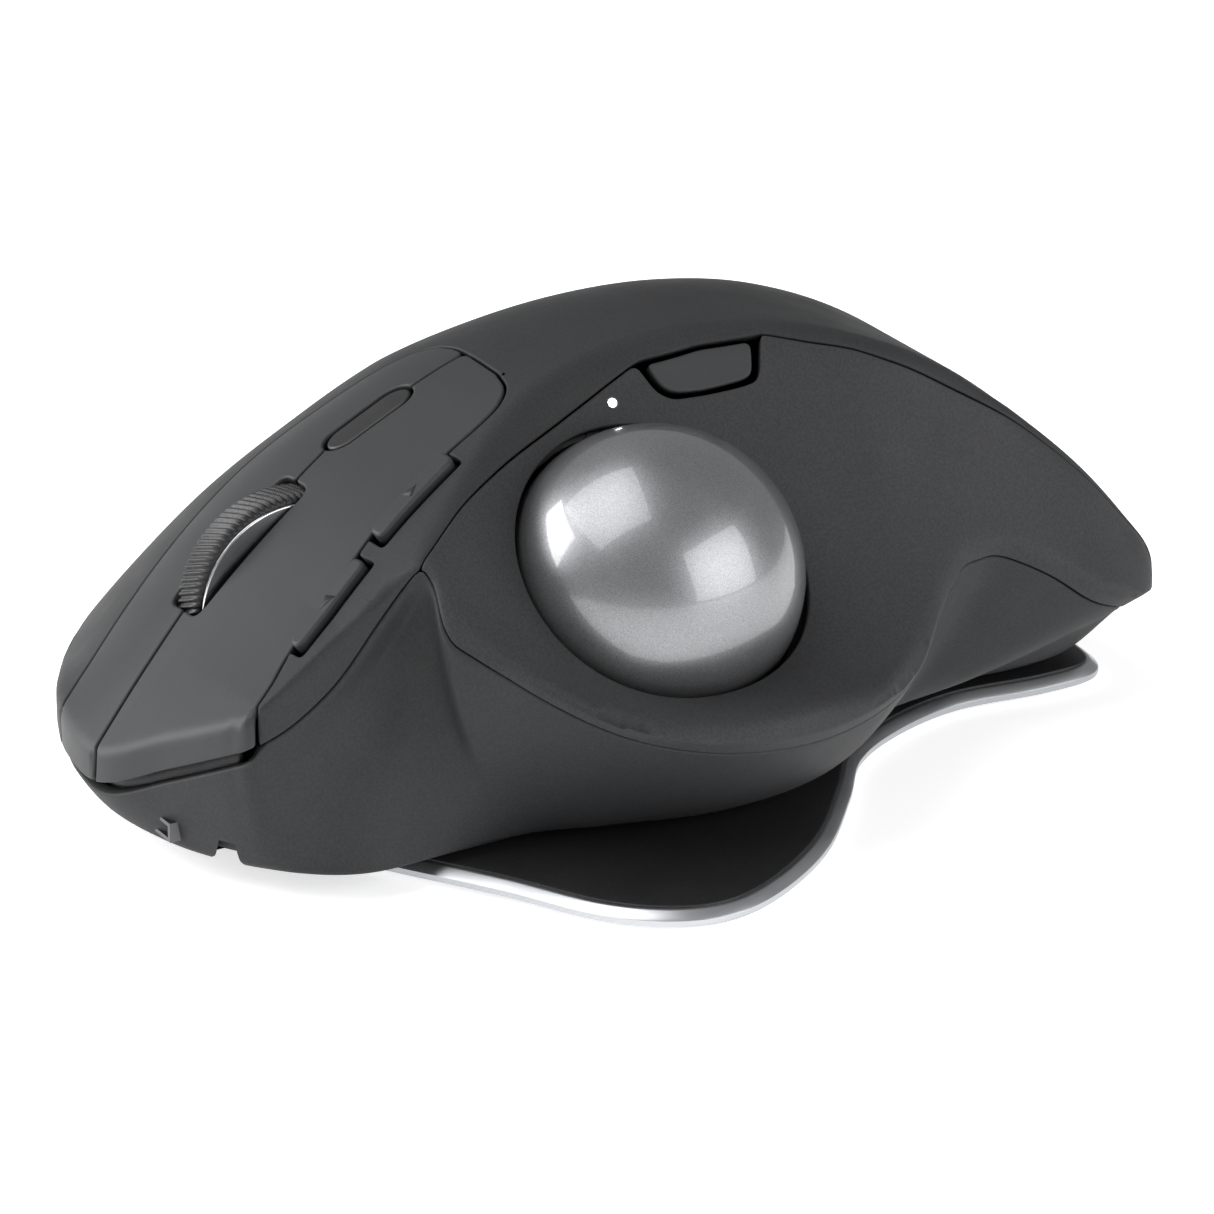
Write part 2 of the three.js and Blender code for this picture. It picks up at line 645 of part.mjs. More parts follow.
add('keys', 'mode_button', geometryOf(skinSlab(modeOutline, -0.25, 2.4)), black);
const precisionShell = skinSolid(FINE, 0.15).subtract(skinSolid(COARSE, 2.4));
const precisionKey = precisionShell.intersect(precisionBlock(0));
add('keys', 'precision_button', geometryOf(precisionKey), keycap);

// ---------------------------------------------------------------- ball and its socket

add('ball', 'trackball', geometryOf(solid(ball(BALL_RADIUS, BALL_CENTRE, 7))), {
  color: 0x8a8c90, roughness: 0.22, metalness: 0.35,
});
const socketRoom = skinSolid(COARSE, WALL + 0.6);
const openSide = aim(
  new THREE.BoxGeometry(60, 60, 40), along(BALL_CENTRE, BALL_FACING, 18.5), BALL_FACING);
const sensorDirection = new THREE.Vector3(0.5, -0.1, -0.86).normalize();
const sensorWindow = rod(3.4, 6, along(BALL_CENTRE, sensorDirection, 19), sensorDirection, 20);
let socket = solid(ball(19.8, BALL_CENTRE, 5))
  .subtract(ballRoom).intersect(socketRoom)
  .subtract(solid(openSide)).subtract(solid(sensorWindow));
const bearingAxis = BALL_FACING.clone().negate();
const bearingSide = new THREE.Vector3().crossVectors(bearingAxis, hingeAxis).normalize();
const bearingDistance = BALL_RADIUS + 1.25 + 0.06;
for (const [i, name] of ['bearing_front', 'bearing_rear', 'bearing_low'].entries()) {
  const direction = bearingAxis.clone().multiplyScalar(0.5);
  const spread = bearingSide.clone().applyAxisAngle(bearingAxis, 0.6 + (2 * Math.PI * i) / 3);
  direction.addScaledVector(spread, 0.86).normalize();
  const centre = along(BALL_CENTRE, direction, bearingDistance);
  socket = socket.subtract(solid(ball(1.45, centre, 2)));
  add('ball', name, ball(1.25, centre, 2), chrome);
}
add('ball', 'ball_socket', geometryOf(socket), black);
const sensorFrame = aim(
  new THREE.BoxGeometry(9, 9, 2), along(BALL_CENTRE, sensorDirection, 21.2), sensorDirection);
add('ball', 'optical_sensor', sensorFrame, black);
const sensorLens = rod(2.6, 1.6, along(BALL_CENTRE, sensorDirection, 19.2), sensorDirection, 20);
add('ball', 'sensor_lens', sensorLens, { color: 0xc8d4dc, roughness: 0.08, metalness: 0 });
const lamp = rod(0.8, 1.8, along(lampCentre, precisionFacing, -0.85), precisionFacing, 16);
add('body', 'status_lamp', lamp, { color: 0xf4f7fa, roughness: 0.2, metalness: 0 });

// ---------------------------------------------------------------- scroll wheel

const turned = (profile, sides) => {
  const points = profile.map((p) => new THREE.Vector2(p[0], p[1]));
  const geometry = new THREE.LatheGeometry(points, sides);
  geometry.rotateZ(-Math.PI / 2);
  return geometry.translate(WHEEL_CENTRE.x, WHEEL_CENTRE.y, WHEEL_CENTRE.z);
};
const half = TYRE_WIDTH / 2;
const tyre = turned([
  [10.7, -half], [12.1, -half], [12.5, -half + 0.8], [12.5, half - 0.8],
  [12.1, half], [10.7, half], [10.7, -half],
], 44);
add('wheel', 'wheel_tyre', geometryOf(solid(tyre)), rubber);
const hub = turned([
  [1.35, -half + 0.6], [10.6, -half + 0.6], [10.6, half - 0.6], [1.35, half - 0.6],
  [1.35, -half + 0.6],
], 40);
add('wheel', 'wheel_hub', geometryOf(solid(hub)), black);
const leftRim = turned([
  [3, -half - 0.5], [6.5, -half - 0.5], [9, -half - 0.3], [10.5, -half + 0.1],
  [10.5, -half + 0.55], [3, -half + 0.55], [3, -half - 0.5],
], 40);
const rightRim = turned([
  [3, half - 0.55], [10.5, half - 0.55], [10.5, half - 0.1], [9, half + 0.3],
  [6.5, half + 0.5], [3, half + 0.5], [3, half - 0.55],
], 40);
add('wheel', 'wheel_rim_left', geometryOf(solid(leftRim)), chrome);
add('wheel', 'wheel_rim_right', geometryOf(solid(rightRim)), chrome);
add('wheel', 'wheel_axle', rod(1.3, 11.6, WHEEL_CENTRE, wheelAxis, 20), chrome);

const yokeCentre = WHEEL_CENTRE.clone();
let yoke = solid(box(-5.9, 5.9, -3, 3, -14.8, -13.4));
for (const side of [-1, 1]) {
  const cheek = box(side * 5.1 - 0.8, side * 5.1 + 0.8, -3, 3, -14, 2.6);
  yoke = yoke.add(solid(cheek));
}
yoke = yoke.subtract(solid(rod(1.37, 30, new THREE.Vector3(), wheelAxis, 20)));
const tip = new THREE.Quaternion().setFromUnitVectors(new THREE.Vector3(0, 0, 1), WHEEL_UP);
const onWheel = (geometry) => geometry.applyQuaternion(tip)
  .translate(yokeCentre.x, yokeCentre.y, yokeCentre.z);
add('wheel', 'wheel_yoke', onWheel(geometryOf(yoke)), black);
const cradle = onWheel(box(-5, 5, -3.5, 3.5, -16.8, -15.8));
add('wheel', 'wheel_cradle', cradle, black);

// ---------------------------------------------------------------- switches and electronics

const keyFacing = new THREE.Vector3(0, 0.66, 0.75).normalize();
function switchAt(side, x, y) {
  const top = new THREE.Vector3(x, y, skinZ(x, y, WALL) - 1);
  const block = aim(new THREE.BoxGeometry(5.8, 9, 5.4), along(top, keyFacing, -3.9), keyFacing);
  const pocket = aim(new THREE.BoxGeometry(2.4, 3, 3.2), along(top, keyFacing, -1.3), keyFacing);
  add('inside', `${side}_switch`, geometryOf(solid(block).subtract(solid(pocket))), black);
  const plunger = new THREE.BoxGeometry(2, 2.6, 1.8);
  add('inside', `${side}_plunger`, aim(plunger, along(top, keyFacing, -1), keyFacing), {
    color: 0xb8402c, roughness: 0.5, metalness: 0,
  });
  const foot = along(top, keyFacing, -6.6).z - 3.4;
  const stand = box(x - 2.7, x + 2.7, y - 7, y - 1, 8.3, foot);
  add('inside', `${side}_switch_stand`, stand, graphiteDark);
}
switchAt('left', -6.5, 46);
switchAt('right', 14.5, 45);

const board = [
  [-9, 46], [-13, 30], [-6, 22], [-5, -20], [5, -32], [13, -32], [16, -18], [13, 46],
];
add('inside', 'main_board', slab(board, 6.9, 8.1), circuit);
add('inside', 'battery', box(21, 38, -24, 14, 15.5, 21), {
  color: 0x9aa0a8, roughness: 0.4, metalness: 0.3,
});
const port = solid(box(-10.2, -3.6, 53, 60, 4.95, 7.25))
  .subtract(solid(box(-9.7, -4.1, 54.5, 62, 5.4, 6.8)));
add('inside', 'usb_port', geometryOf(port), chrome);
add('inside', 'power_slider', box(-15.6, -12.9, 50, 52.4, 3.3, 6.4), black);
for (const [i, [x, y]] of screwSpots.entries()) {
  const head = solid(rod(1.5, 0.9, new THREE.Vector3(x, y, 4.3), new THREE.Vector3(0, 0, 1), 12));
  const shank = rod(0.8, 2.2, new THREE.Vector3(x, y, 5.6), new THREE.Vector3(0, 0, 1), 12);
  add('inside', `screw_${i + 1}`, geometryOf(head.add(solid(shank))), chrome);
}

// The middle of the footprint goes over the origin.
mouse.position.set(0, 1.3, 0);

export default mouse;
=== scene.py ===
"""A right-handed thumb trackball mouse on its tilting steel base plate.

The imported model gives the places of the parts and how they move. This script gives the
visible skins, each cut from one smooth body shape, and their materials.
Shape work is in millimetres; meshes are written in metres.
"""
import math

import bmesh
import bpy
import numpy as np
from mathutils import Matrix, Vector
from mathutils.geometry import delaunay_2d_cdt
from mathutils.kdtree import KDTree


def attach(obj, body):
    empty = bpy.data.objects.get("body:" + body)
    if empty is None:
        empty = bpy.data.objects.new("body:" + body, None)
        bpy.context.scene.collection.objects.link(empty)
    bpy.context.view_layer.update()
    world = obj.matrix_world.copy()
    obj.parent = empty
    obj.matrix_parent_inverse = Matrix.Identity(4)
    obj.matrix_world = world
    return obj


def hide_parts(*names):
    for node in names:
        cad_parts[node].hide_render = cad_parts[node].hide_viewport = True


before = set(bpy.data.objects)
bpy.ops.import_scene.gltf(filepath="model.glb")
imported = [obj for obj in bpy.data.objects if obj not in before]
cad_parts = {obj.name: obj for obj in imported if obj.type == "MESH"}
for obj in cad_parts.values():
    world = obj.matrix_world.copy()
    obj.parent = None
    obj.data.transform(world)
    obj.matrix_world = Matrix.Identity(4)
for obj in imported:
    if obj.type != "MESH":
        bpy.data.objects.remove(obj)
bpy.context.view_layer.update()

# ---------------------------------------------------------------- dimensions, mm

CENTRE_SHIFT = np.array([0.0, 1.3, 0.0])  # body shape to row frame
KEY_GAP = 0.30  # seam round a key
SEAM_GAP = 0.12  # seam between the fixed skins
SKIN = 1.3  # thickness of a visible skin
FLOOR_Z = 3.5
KEEL_X = 22.0
KEEL_SLOPE = math.tan(math.radians(21))
LAMP_HOLE = 0.58
SIDE_RAISE = 0.9  # side keys stand this far out of the body
MARK = 0.025  # printed marks stand this far out of the keys
BALL_R = 17.0
BALL_C = np.array([-21.8, 5.6, 29.6])
BALL_N = np.array([-0.79, 0.17, 0.585]) / np.linalg.norm([-0.79, 0.17, 0.585])
WHEEL_C = np.array([5.3, 37.6, 24.5])
MIDDLE = np.array([0.0, 0.0, 24.0])  # most skin points are found from here
THUMB_EYE = np.array([2.0, -8.0, 7.0])  # the thumb rest is found from here

CROWN = [(-66.3, 15), (-62, 20.4), (-56, 27.6), (-47, 36.3), (-37, 44.2), (-27, 48.8),
         (-16, 51.1), (-6, 51.4), (5, 50.2), (15, 47.8), (25, 43.4), (35.5, 37.6), (43, 32),
         (51, 25), (58, 18.6), (64, 12.8)]
RIGHT_EDGE = [(-66.3, 10), (-64, 16), (-59.5, 25), (-48, 37), (-33, 45), (-14, 49),
              (5, 49.9), (23, 48.5), (39, 44), (50, 36), (57, 27), (64, 20)]
PANEL_HEIGHT = [(-66, 7), (-60, 13.5), (-53, 21), (-46, 25.5), (-36, 28), (-30.5, 30.6),
                (-26, 32), (-20.5, 31.8), (-13.5, 31), (-5, 30.2), (4, 29.8), (12.5, 30.4),
                (20.5, 32), (28.5, 35.2), (34, 37.2), (37, 39.5), (40, 44), (46, 60),
                (64, 92)]
PANEL_SLOPE = [(-66, 1.8), (-36, 1.75), (-26, 1.25), (-16, 1), (40, 1)]
RIM = [(0, 63.9, 9), (8, 63.5, 8.8), (16, 61, 9), (26, 56, 11), (36, 50, 13.5),
       (44, 39, 16), (49, 23, 18), (51.6, 5, 18.5), (50.2, -14, 18.5), (45, -33, 18),
       (37, -48, 16.5), (25, -59.5, 15), (12, -65.3, 14), (0, -66.25, 13.3),
       (-12, -66, 13), (-19.5, -63.5, 13.5), (-24.5, -58.5, 15.5), (-26.3, -52, 18.5),
       (-26, -46, 22.5), (-25, -40, 25.5), (-25.3, -35.8, 26), (-28.5, -30.5, 25),
       (-33, -26, 23.5), (-38.5, -20.5, 21), (-43, -13.5, 19.5), (-45.5, -5, 18.5),
       (-45.7, 4, 18.5), (-43.7, 12.5, 19.5), (-40.4, 20.5, 22), (-35.3, 28.5, 27),
       (-29.3, 34, 33), (-23.4, 35.8, 37), (-22.3, 40, 31.5), (-21.7, 45.8, 24.4),
       (-21.4, 50.5, 21), (-20.4, 55, 18.8), (-18.3, 56.4, 17.6), (-15.3, 57.8, 16.1),
       (-10, 60, 13.5)]
FOOT = [(0, 60.5), (12, 59), (26, 53), (36, 45), (42, 30), (44, 10), (43, -12),
        (38, -32), (29, -48), (16, -58), (2, -61), (-10, -59), (-13.5, -50.5),
        (-12.8, -40), (-15, -32.5), (-23.5, -20), (-29.3, -8), (-30.5, 4), (-28, 15.5),
        (-25.5, 27), (-25.5, 35), (-25.5, 43), (-22, 50), (-13, 57)]
PLATE = [(-10, 45), (-20, 38.6), (-32, 30.8), (-43, 24.5), (-48.6, 17.9), (-49.9, 10.9),
         (-46.7, 2.6), (-40, -6.7), (-30.2, -15.5), (-21.9, -22.2), (-16.9, -30.6),
         (-14.3, -40.5), (-15.2, -52), (-14.2, -59.5), (-9, -62), (3, -61.5), (13, -55),
         (20, -40), (24, -20), (25.5, 5), (24, 28), (17, 42), (4, 48)]
# How far the seam lies under the widest outline, along the bearing in degrees.
SEAM_DROP = [(0, 0), (121.5, 0), (122.9, 0), (124.5, 1.3), (127, 2.5), (133.5, 2.7),
             (140, 2.1), (146, 1.8), (148, 1.8), (328, 1.8), (330, 1.8), (350, 0), (352, 0),
             (360, 0)]


# ---------------------------------------------------------------- curves and body shape

def curve(points):
    p = np.array(points, float)
    t, v = p[:, 0], p[:, 1]
    n = len(t)
    h = np.diff(t)
    s = np.diff(v) / h
    m = np.empty(n)
    m[0], m[-1] = s[0], s[-1]
    m[1:-1] = (s[:-1] * h[1:] + s[1:] * h[:-1]) / (h[1:] + h[:-1])

    def value(q):
        q = np.clip(q, t[0], t[-1])
        i = np.clip(np.searchsorted(t, q, side="right") - 1, 0, n - 2)
        u = (q - t[i]) / h[i]
        u2 = u * u
        u3 = u2 * u
        return ((2 * u3 - 3 * u2 + 1) * v[i] + (u3 - 2 * u2 + u) * h[i] * m[i]
                + (3 * u2 - 2 * u3) * v[i + 1] + (u3 - u2) * h[i] * m[i + 1])
    return value


def degrees(x, y):
    return np.degrees(np.arctan2(y, x)) % 360


def around(points, column):
    turn = []
    for p in points:
        turn.append((float(degrees(p[0], p[1])),
                     math.hypot(p[0], p[1]) if column == "radius" else p[column]))
    turn.sort()
    before = [(a - 360, v) for a, v in turn[-3:]]
    after = [(a + 360, v) for a, v in turn[:3]]
    return curve(before + turn + after)


crown = curve(CROWN)
right_edge = curve(RIGHT_EDGE)
panel_height = curve(PANEL_HEIGHT)
panel_slope = curve(PANEL_SLOPE)
rim_radius = around(RIM, "radius")
rim_height = around(RIM, 2)
foot_radius = around(FOOT, "radius")
seam_drop = curve(SEAM_DROP)


def smooth_min(a, b, k):
    h = np.clip(0.5 + 0.5 * (b - a) / k, 0, 1)
    return b * (1 - h) + a * h - k * h * (1 - h)


def smooth_max(a, b, k):
    return -smooth_min(-a, -b, k)


def smoothstep(x, a, b):
    t = np.clip((x - a) / (b - a), 0, 1)
    return t * t * (3 - 2 * t)


def top_height(x, y):
    middle = crown(y)
    across = np.clip((x - 3) / (right_edge(y) - 3), 0, 1.3)
    front = np.clip((y - 15) / 35, 0, 1)
    fall = middle - 16 + 6 * front
    lift = 0.07 * np.clip(-x, 0, 30) * np.clip((y - 44) / 10, 0, 1)
    return middle - np.maximum(fall, middle * 0.2) * across ** (2.2 - 0.3 * front) + lift


def panel_z(x, y):
    d = np.maximum(x + 24, -25)
    dish = np.exp(-((x + 35) / 5) ** 2 - ((y - 7) / 11) ** 2)
    return panel_height(y) + panel_slope(y) * d + 0.02 * d * d - dish


def wall_radius(angle, z):
    foot = foot_radius(angle)
    rim_z = rim_height(angle)
    u = np.clip((z - 4) / (rim_z - 4), -0.5, 1)
    radius = foot + (rim_radius(angle) - foot) * np.sign(u) * np.abs(u) ** 0.7
    # a crease runs down from the corner of the thumb rest, with a finger scoop before it
    fade = smoothstep(z, 9, 24) * (1 - smoothstep(u, 0.86, 1))
    off = angle - 127.2 - 0.25 * (37 - z)
    ridge = 1.8 * np.exp(-(off / np.where(off < 0, 2.0, 5.0)) ** 2)
    scoop = -2.4 * np.exp(-((angle - 118.5) / 4.6) ** 2)
    return radius + fade * (ridge + scoop)


def keel_z(x):
    return FLOOR_Z + np.maximum(x - KEEL_X + 1, 0) * KEEL_SLOPE


def body_field(p):
    """Roughly the signed distance to the outer skin, negative inside."""
    x, y, z = p[..., 0], p[..., 1], p[..., 2]
    top = (z - top_height(x, y)) * 0.72
    panel = (z - panel_z(x, y)) * 0.66
    upper = smooth_max(top, panel, 2.2)
    wall = (np.hypot(x, y) - wall_radius(degrees(x, y), z)) * 0.8
    edge = 1.6 - 0.9 * np.clip((y - 48) / 6, 0, 1)
    return smooth_max(smooth_max(upper, wall, edge), keel_z(x) - z, 0.8)


def bisect(inside, outside):
    """The skin points on the lines from inside points to outside points."""
    low = np.zeros(len(inside))
    high = np.ones(len(inside))
    for _ in range(30):
        mid = (low + high) / 2
        p = inside + (outside - inside) * mid[:, None]
        out = body_field(p) > 0
        high = np.where(out, mid, high)
        low = np.where(out, low, mid)
    return inside + (outside - inside) * low[:, None]


def cast(toward, eye=MIDDLE):
    """The skin points seen from inside in the directions of some points."""
    ray = np.asarray(toward, float) - eye
    ray /= np.linalg.norm(ray, axis=1, keepdims=True)
    start = np.repeat(eye[None], len(ray), 0)
    return bisect(start + ray, start + ray * 95)


def drop(points):
    """The skin points over some plan points, or the widest outline for points past it."""
    xy = np.asarray(points, float)[:, :2]
    low = np.column_stack([xy, np.full(len(xy), 6.0)])
    outside = body_field(low) > 0
    low[outside, 2] = rim_height(degrees(xy[outside, 0], xy[outside, 1]))
    high = np.column_stack([xy, np.full(len(xy), 60.0)])
    return bisect(low, high)


def normals_at(p):
    g = np.zeros_like(p)
    for k in range(3):
        step = np.zeros(3)
        step[k] = 0.04
        g[:, k] = body_field(p + step) - body_field(p - step)
    return g / np.maximum(np.linalg.norm(g, axis=1, keepdims=True), 1e-9)


def seam_height(angle):
    return rim_height(angle % 360) - seam_drop(angle % 360)


def seam_points(angles, shift):
    """Points on the skin along the seam round the body, moved up or down by a distance."""
    angles = np.asarray(angles, float)
    a = np.radians(angles)
    z = seam_height(angles) + shift
    inside = np.column_stack([3 * np.cos(a), 3 * np.sin(a), z])
    outside = np.column_stack([95 * np.cos(a), 95 * np.sin(a), z])
    return bisect(inside, outside)


# ---------------------------------------------------------------- mesh helpers

def build(name, verts, faces, body, material, normals=None, replaces=()):
    mesh = bpy.data.meshes.new(name)
    points = (np.asarray(verts, float) + CENTRE_SHIFT) * 0.001
    mesh.from_pydata(points.tolist(), [], faces)
    mesh.validate()
    mesh.shade_smooth()
    if normals is not None and len(mesh.vertices) == len(normals):
        mesh.normals_split_custom_set_from_vertices([tuple(n) for n in normals])
    obj = bpy.data.objects.new(name, mesh)
    bpy.context.scene.collection.objects.link(obj)
    obj.data.materials.append(material)
    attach(obj, body)
    if replaces:
        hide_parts(*replaces)
    return obj


def resample(points, spacing):
    """Points at an even spacing along an open line through some points."""
    p = np.asarray(points, float)
    length = np.r_[0, np.cumsum(np.linalg.norm(np.diff(p, axis=0), axis=1))]
    keep = np.r_[True, np.diff(length) > 1e-6]
    p, length = p[keep], length[keep]
    count = max(2, int(round(length[-1] / spacing)) + 1)
    at = np.linspace(0, length[-1], count)
    return np.column_stack([np.interp(at, length, p[:, k]) for k in range(p.shape[1])])


def spline(points, spacing=0.4):
    """A smooth open curve through some points."""
    p = np.asarray(points, float)
    padded = np.vstack([2 * p[0] - p[1], p, 2 * p[-1] - p[-2]])
    out = []
    for i in range(1, len(padded) - 2):
        a, b, c, d = padded[i - 1:i + 3]
        for t in np.linspace(0, 1, 12, endpoint=False):
            out.append(0.5 * (2 * b + (c - a) * t + (2 * a - 5 * b + 4 * c - d) * t * t
                              + (3 * b - a - 3 * c + d) * t ** 3))
    out.append(p[-1])
    return resample(out, spacing)


def rounded(points, radius, spacing=0.4, closed=False):
    """A line through some points with its corners rounded."""
    p = [np.asarray(q, float) for q in points]
    p = [q for k, q in enumerate(p)
         if (k == 0 and not closed) or np.linalg.norm(q - p[k - 1]) > 1e-4]
    n = len(p)
    out = []
    for i in range(n):
        if not closed and i in (0, n - 1):
            out.append(p[i])
            continue
        a, b, c = p[i - 1], p[i], p[(i + 1) % n]
        u, v = a - b, c - b
        r = min(radius, 0.45 * np.linalg.norm(u), 0.45 * np.linalg.norm(v))
        start = b + u / np.linalg.norm(u) * r
        end = b + v / np.linalg.norm(v) * r
        for t in np.linspace(0, 1, 7):
            out.append((1 - t) ** 2 * start + 2 * t * (1 - t) * b + t * t * end)
    if closed:
        out.append(out[0])
    line = resample(out, spacing)
    return line[:-1] if closed else line


def tidy_loop(points, spacing):
    """A closed line through some points, evenly spaced."""
    return resample(np.vstack([points, points[:1]]), spacing)[:-1]


def inside_loops(q, loops):
    """Even-odd test of 2-D points against closed loops."""
    odd = np.zeros(len(q), bool)
    for loop in loops:
        a = loop
        b = np.roll(loop, -1, axis=0)
        for (x0, y0), (x1, y1) in zip(a, b):
            if y0 == y1:
                continue
            cross = (q[:, 1] < y0) != (q[:, 1] < y1)
            if not cross.any():
                continue
            x = x0 + (q[:, 1] - y0) / (y1 - y0) * (x1 - x0)
            odd ^= cross & (q[:, 0] < x)
    return odd


def unroll(p, eye=MIDDLE):
    """Points as seen from inside, laid flat round the upward direction, in degrees."""
    d = p - eye
    flat = np.hypot(d[:, 0], d[:, 1])
    tilt = np.degrees(np.arctan2(flat, d[:, 2]))
    return np.column_stack([tilt * d[:, 0], tilt * d[:, 1]]) / np.maximum(flat, 1e-9)[:, None]


def roll_up(q, eye=MIDDLE):
    tilt = np.radians(np.hypot(q[:, 0], q[:, 1]))
    a = np.arctan2(q[:, 1], q[:, 0])
    ray = np.column_stack([np.sin(tilt) * np.cos(a), np.sin(tilt) * np.sin(a), np.cos(tilt)])
    return eye + ray


def frame_along(loop):
    """Skin normals and inward sides along a closed loop that keeps its area on the left."""
    n = normals_at(loop)
    t = np.roll(loop, -1, axis=0) - np.roll(loop, 1, axis=0)
    side = np.cross(n, t)
    side /= np.maximum(np.linalg.norm(side, axis=1, keepdims=True), 1e-9)
    return n, side


def nearest(p, others):
    """Distance from each point to the nearest of some others."""
    tree = KDTree(len(others))
    for i, o in enumerate(others):
        tree.insert(o, i)
    tree.balance()
    return np.array([tree.find(q)[2] for q in p])


def thin_out(p, distance):
    """The points, without those that lie closer than a distance to an earlier one."""
    tree = KDTree(len(p))
    for i, q in enumerate(p):
        tree.insert(q, i)
    tree.balance()
    keep = np.ones(len(p), bool)
    for i, q in enumerate(p):
        if keep[i]:
            for _, j, _ in tree.find_range(q, distance):
                if j > i:
                    keep[j] = False
    return p[keep]


def blur(v, times=2):
    for _ in range(times):
        v = (np.roll(v, 1, axis=0) + 2 * v + np.roll(v, -1, axis=0)) / 4
    return v / np.maximum(np.linalg.norm(v, axis=1, keepdims=True), 1e-9)


def skin_panel(name, loops, body, slot, material, replaces=(), raise_by=0.0, edge=0.32,
               depth=SKIN, spacing=0.75, loop_spacing=0.42, swell=0.0,
               rows=(0.3, 0.62, 0.98, 1.4, 1.9, 2.5), eye=MIDDLE):
    """A closed skin piece: its outlines are loops on the body, with a rounded edge."""
    verts, norms, faces = [], [], []

    def push(p, n):
        start = sum(len(v) for v in verts)
        verts.append(p)
        norms.append(n)
        return start

    flat_loops, flat_starts, inner_starts, near_rows = [], [], [], []
    for loop in loops:
        loop = tidy_loop(loop, loop_spacing)
        n, side = frame_along(loop)
        side = blur(side, 2)
        count = len(loop)
        rings = [push(loop - n * depth, -side * 0.7 - n * 0.7)]
        for k in range(5):
            a = math.pi / 2 * k / 4
            p = (loop + side * edge * (1 - math.cos(a))
                 - n * (edge * (1 - math.sin(a)) - raise_by))
            rings.append(push(p, n * math.sin(a) - side * math.cos(a)))
        for k in range(len(rings) - 1):
            a, b = rings[k], rings[k + 1]
            for i in range(count):
                j = (i + 1) % count
                faces.append((a + i, a + j, b + j, b + i))
        flat_loops.append(unroll(loop + side * edge, eye))
        flat_starts.append((rings[-1], count))
        inner_starts.append(rings[0])
        for k, d in enumerate(rows):
            near_rows.append((d, loop + side * (edge + d)))
    low = np.min([f.min(0) for f in flat_loops], 0)
    high = np.max([f.max(0) for f in flat_loops], 0)
    row = spacing * math.sqrt(3) / 2
    ys = np.arange(low[1], high[1], row)
    xs = np.arange(low[0], high[0], spacing)
    gx, gy = np.meshgrid(xs, ys)
    gx = gx + (np.arange(len(ys)) % 2)[:, None] * spacing / 2
    q = np.column_stack([gx.ravel(), gy.ravel()])
    q = q[inside_loops(q, flat_loops)]
    skin = cast(roll_up(q, eye), eye) if len(q) else np.zeros((0, 3))
    edge_points = np.vstack([cast(roll_up(f, eye), eye) for f in flat_loops])
    gap = nearest(skin, edge_points)
    skin = skin[gap > rows[-1] + 0.3 if rows else gap > 0.55 * loop_spacing]
    for d, row in near_rows:
        row = row[inside_loops(unroll(row, eye), flat_loops)]
        row = cast(row, eye)
        row = row[nearest(row, edge_points) > 0.86 * d]
        skin = np.vstack([skin, row])
    if len(skin):
        skin = thin_out(skin, 0.2)
    q = unroll(skin, eye)
    skin_n = normals_at(skin) if len(q) else np.zeros((0, 3))
    bulge = raise_by
    if swell and len(q):
        bulge = raise_by + swell * np.minimum(nearest(skin, edge_points) / 1.6, 1)
        bulge = bulge[:, None]
    start_q = push(skin + skin_n * bulge, skin_n)
    ids = []
    coords = []
    edges = []
    for flat, (start, count) in zip(flat_loops, flat_starts):
        first = len(coords)
        coords += [Vector(c) for c in flat]
        ids += list(range(start, start + count))
        edges += [(first + i, first + (i + 1) % count) for i in range(count)]
    coords += [Vector(c) for c in q]
    ids += list(range(start_q, start_q + len(q)))
    out = delaunay_2d_cdt(coords, edges, [], 0, 1e-6)
    out_xy = np.array([tuple(v) for v in out[0]])
    where = [ids[o[0]] if o else -1 for o in out[3]]
    tri = np.array([f for f in out[2] if len(f) == 3])
    middle = out_xy[tri].mean(1)
    tri = tri[inside_loops(middle, flat_loops)]
    all_v = np.vstack(verts)
    all_n = np.vstack(norms)
    total = len(all_v)
    inner_of = {}
    inner_v, inner_n = [], []

    def inner(i):
        if i not in inner_of:
            inner_of[i] = total + len(inner_v)
            inner_v.append(all_v[i] - all_n[i] * (depth + raise_by))
            inner_n.append(-all_n[i])
        return inner_of[i]

    for t in tri:
        g = [where[k] for k in t]
        if -1 in g:
            continue
        a, b, c = out_xy[t[0]], out_xy[t[1]], out_xy[t[2]]
        if (b[0] - a[0]) * (c[1] - a[1]) - (b[1] - a[1]) * (c[0] - a[0]) < 0:
            g.reverse()
        faces.append(tuple(g))
        faces.append((inner(g[2]), inner(g[1]), inner(g[0])))
    for (start, count), base in zip(flat_starts, inner_starts):
        for i in range(count):
            j = (i + 1) % count
            faces.append((base + j, base + i, inner(start + i), inner(start + j)))
    all_v = np.vstack([all_v, inner_v])
    all_n = np.vstack([all_n, inner_n])
    return build(name, all_v, faces, body, material, all_n, replaces)


def lathe(profile, sides, centre, axis, start_angle=0.0):
    """A closed profile of (radius, along) turned about an axis through a point."""
    axis = np.asarray(axis, float) / np.linalg.norm(axis)
    helper = np.array([0, 0, 1.0]) if abs(axis[2]) < 0.9 else np.array([1.0, 0, 0])
    e1 = np.cross(axis, helper)
    e1 /= np.linalg.norm(e1)
    e2 = np.cross(axis, e1)
    verts, faces = [], []
    n = len(profile)
    for i in range(sides):
        a = start_angle + 2 * math.pi * i / sides
        out = e1 * math.cos(a) + e2 * math.sin(a)
        for r, d in profile:
            verts.append(centre + out * r + axis * d)
    for i in range(sides):
        j = (i + 1) % sides
        for k in range(n):
            m = (k + 1) % n
            faces.append((i * n + k, j * n + k, j * n + m, i * n + m))
    return np.array(verts), faces


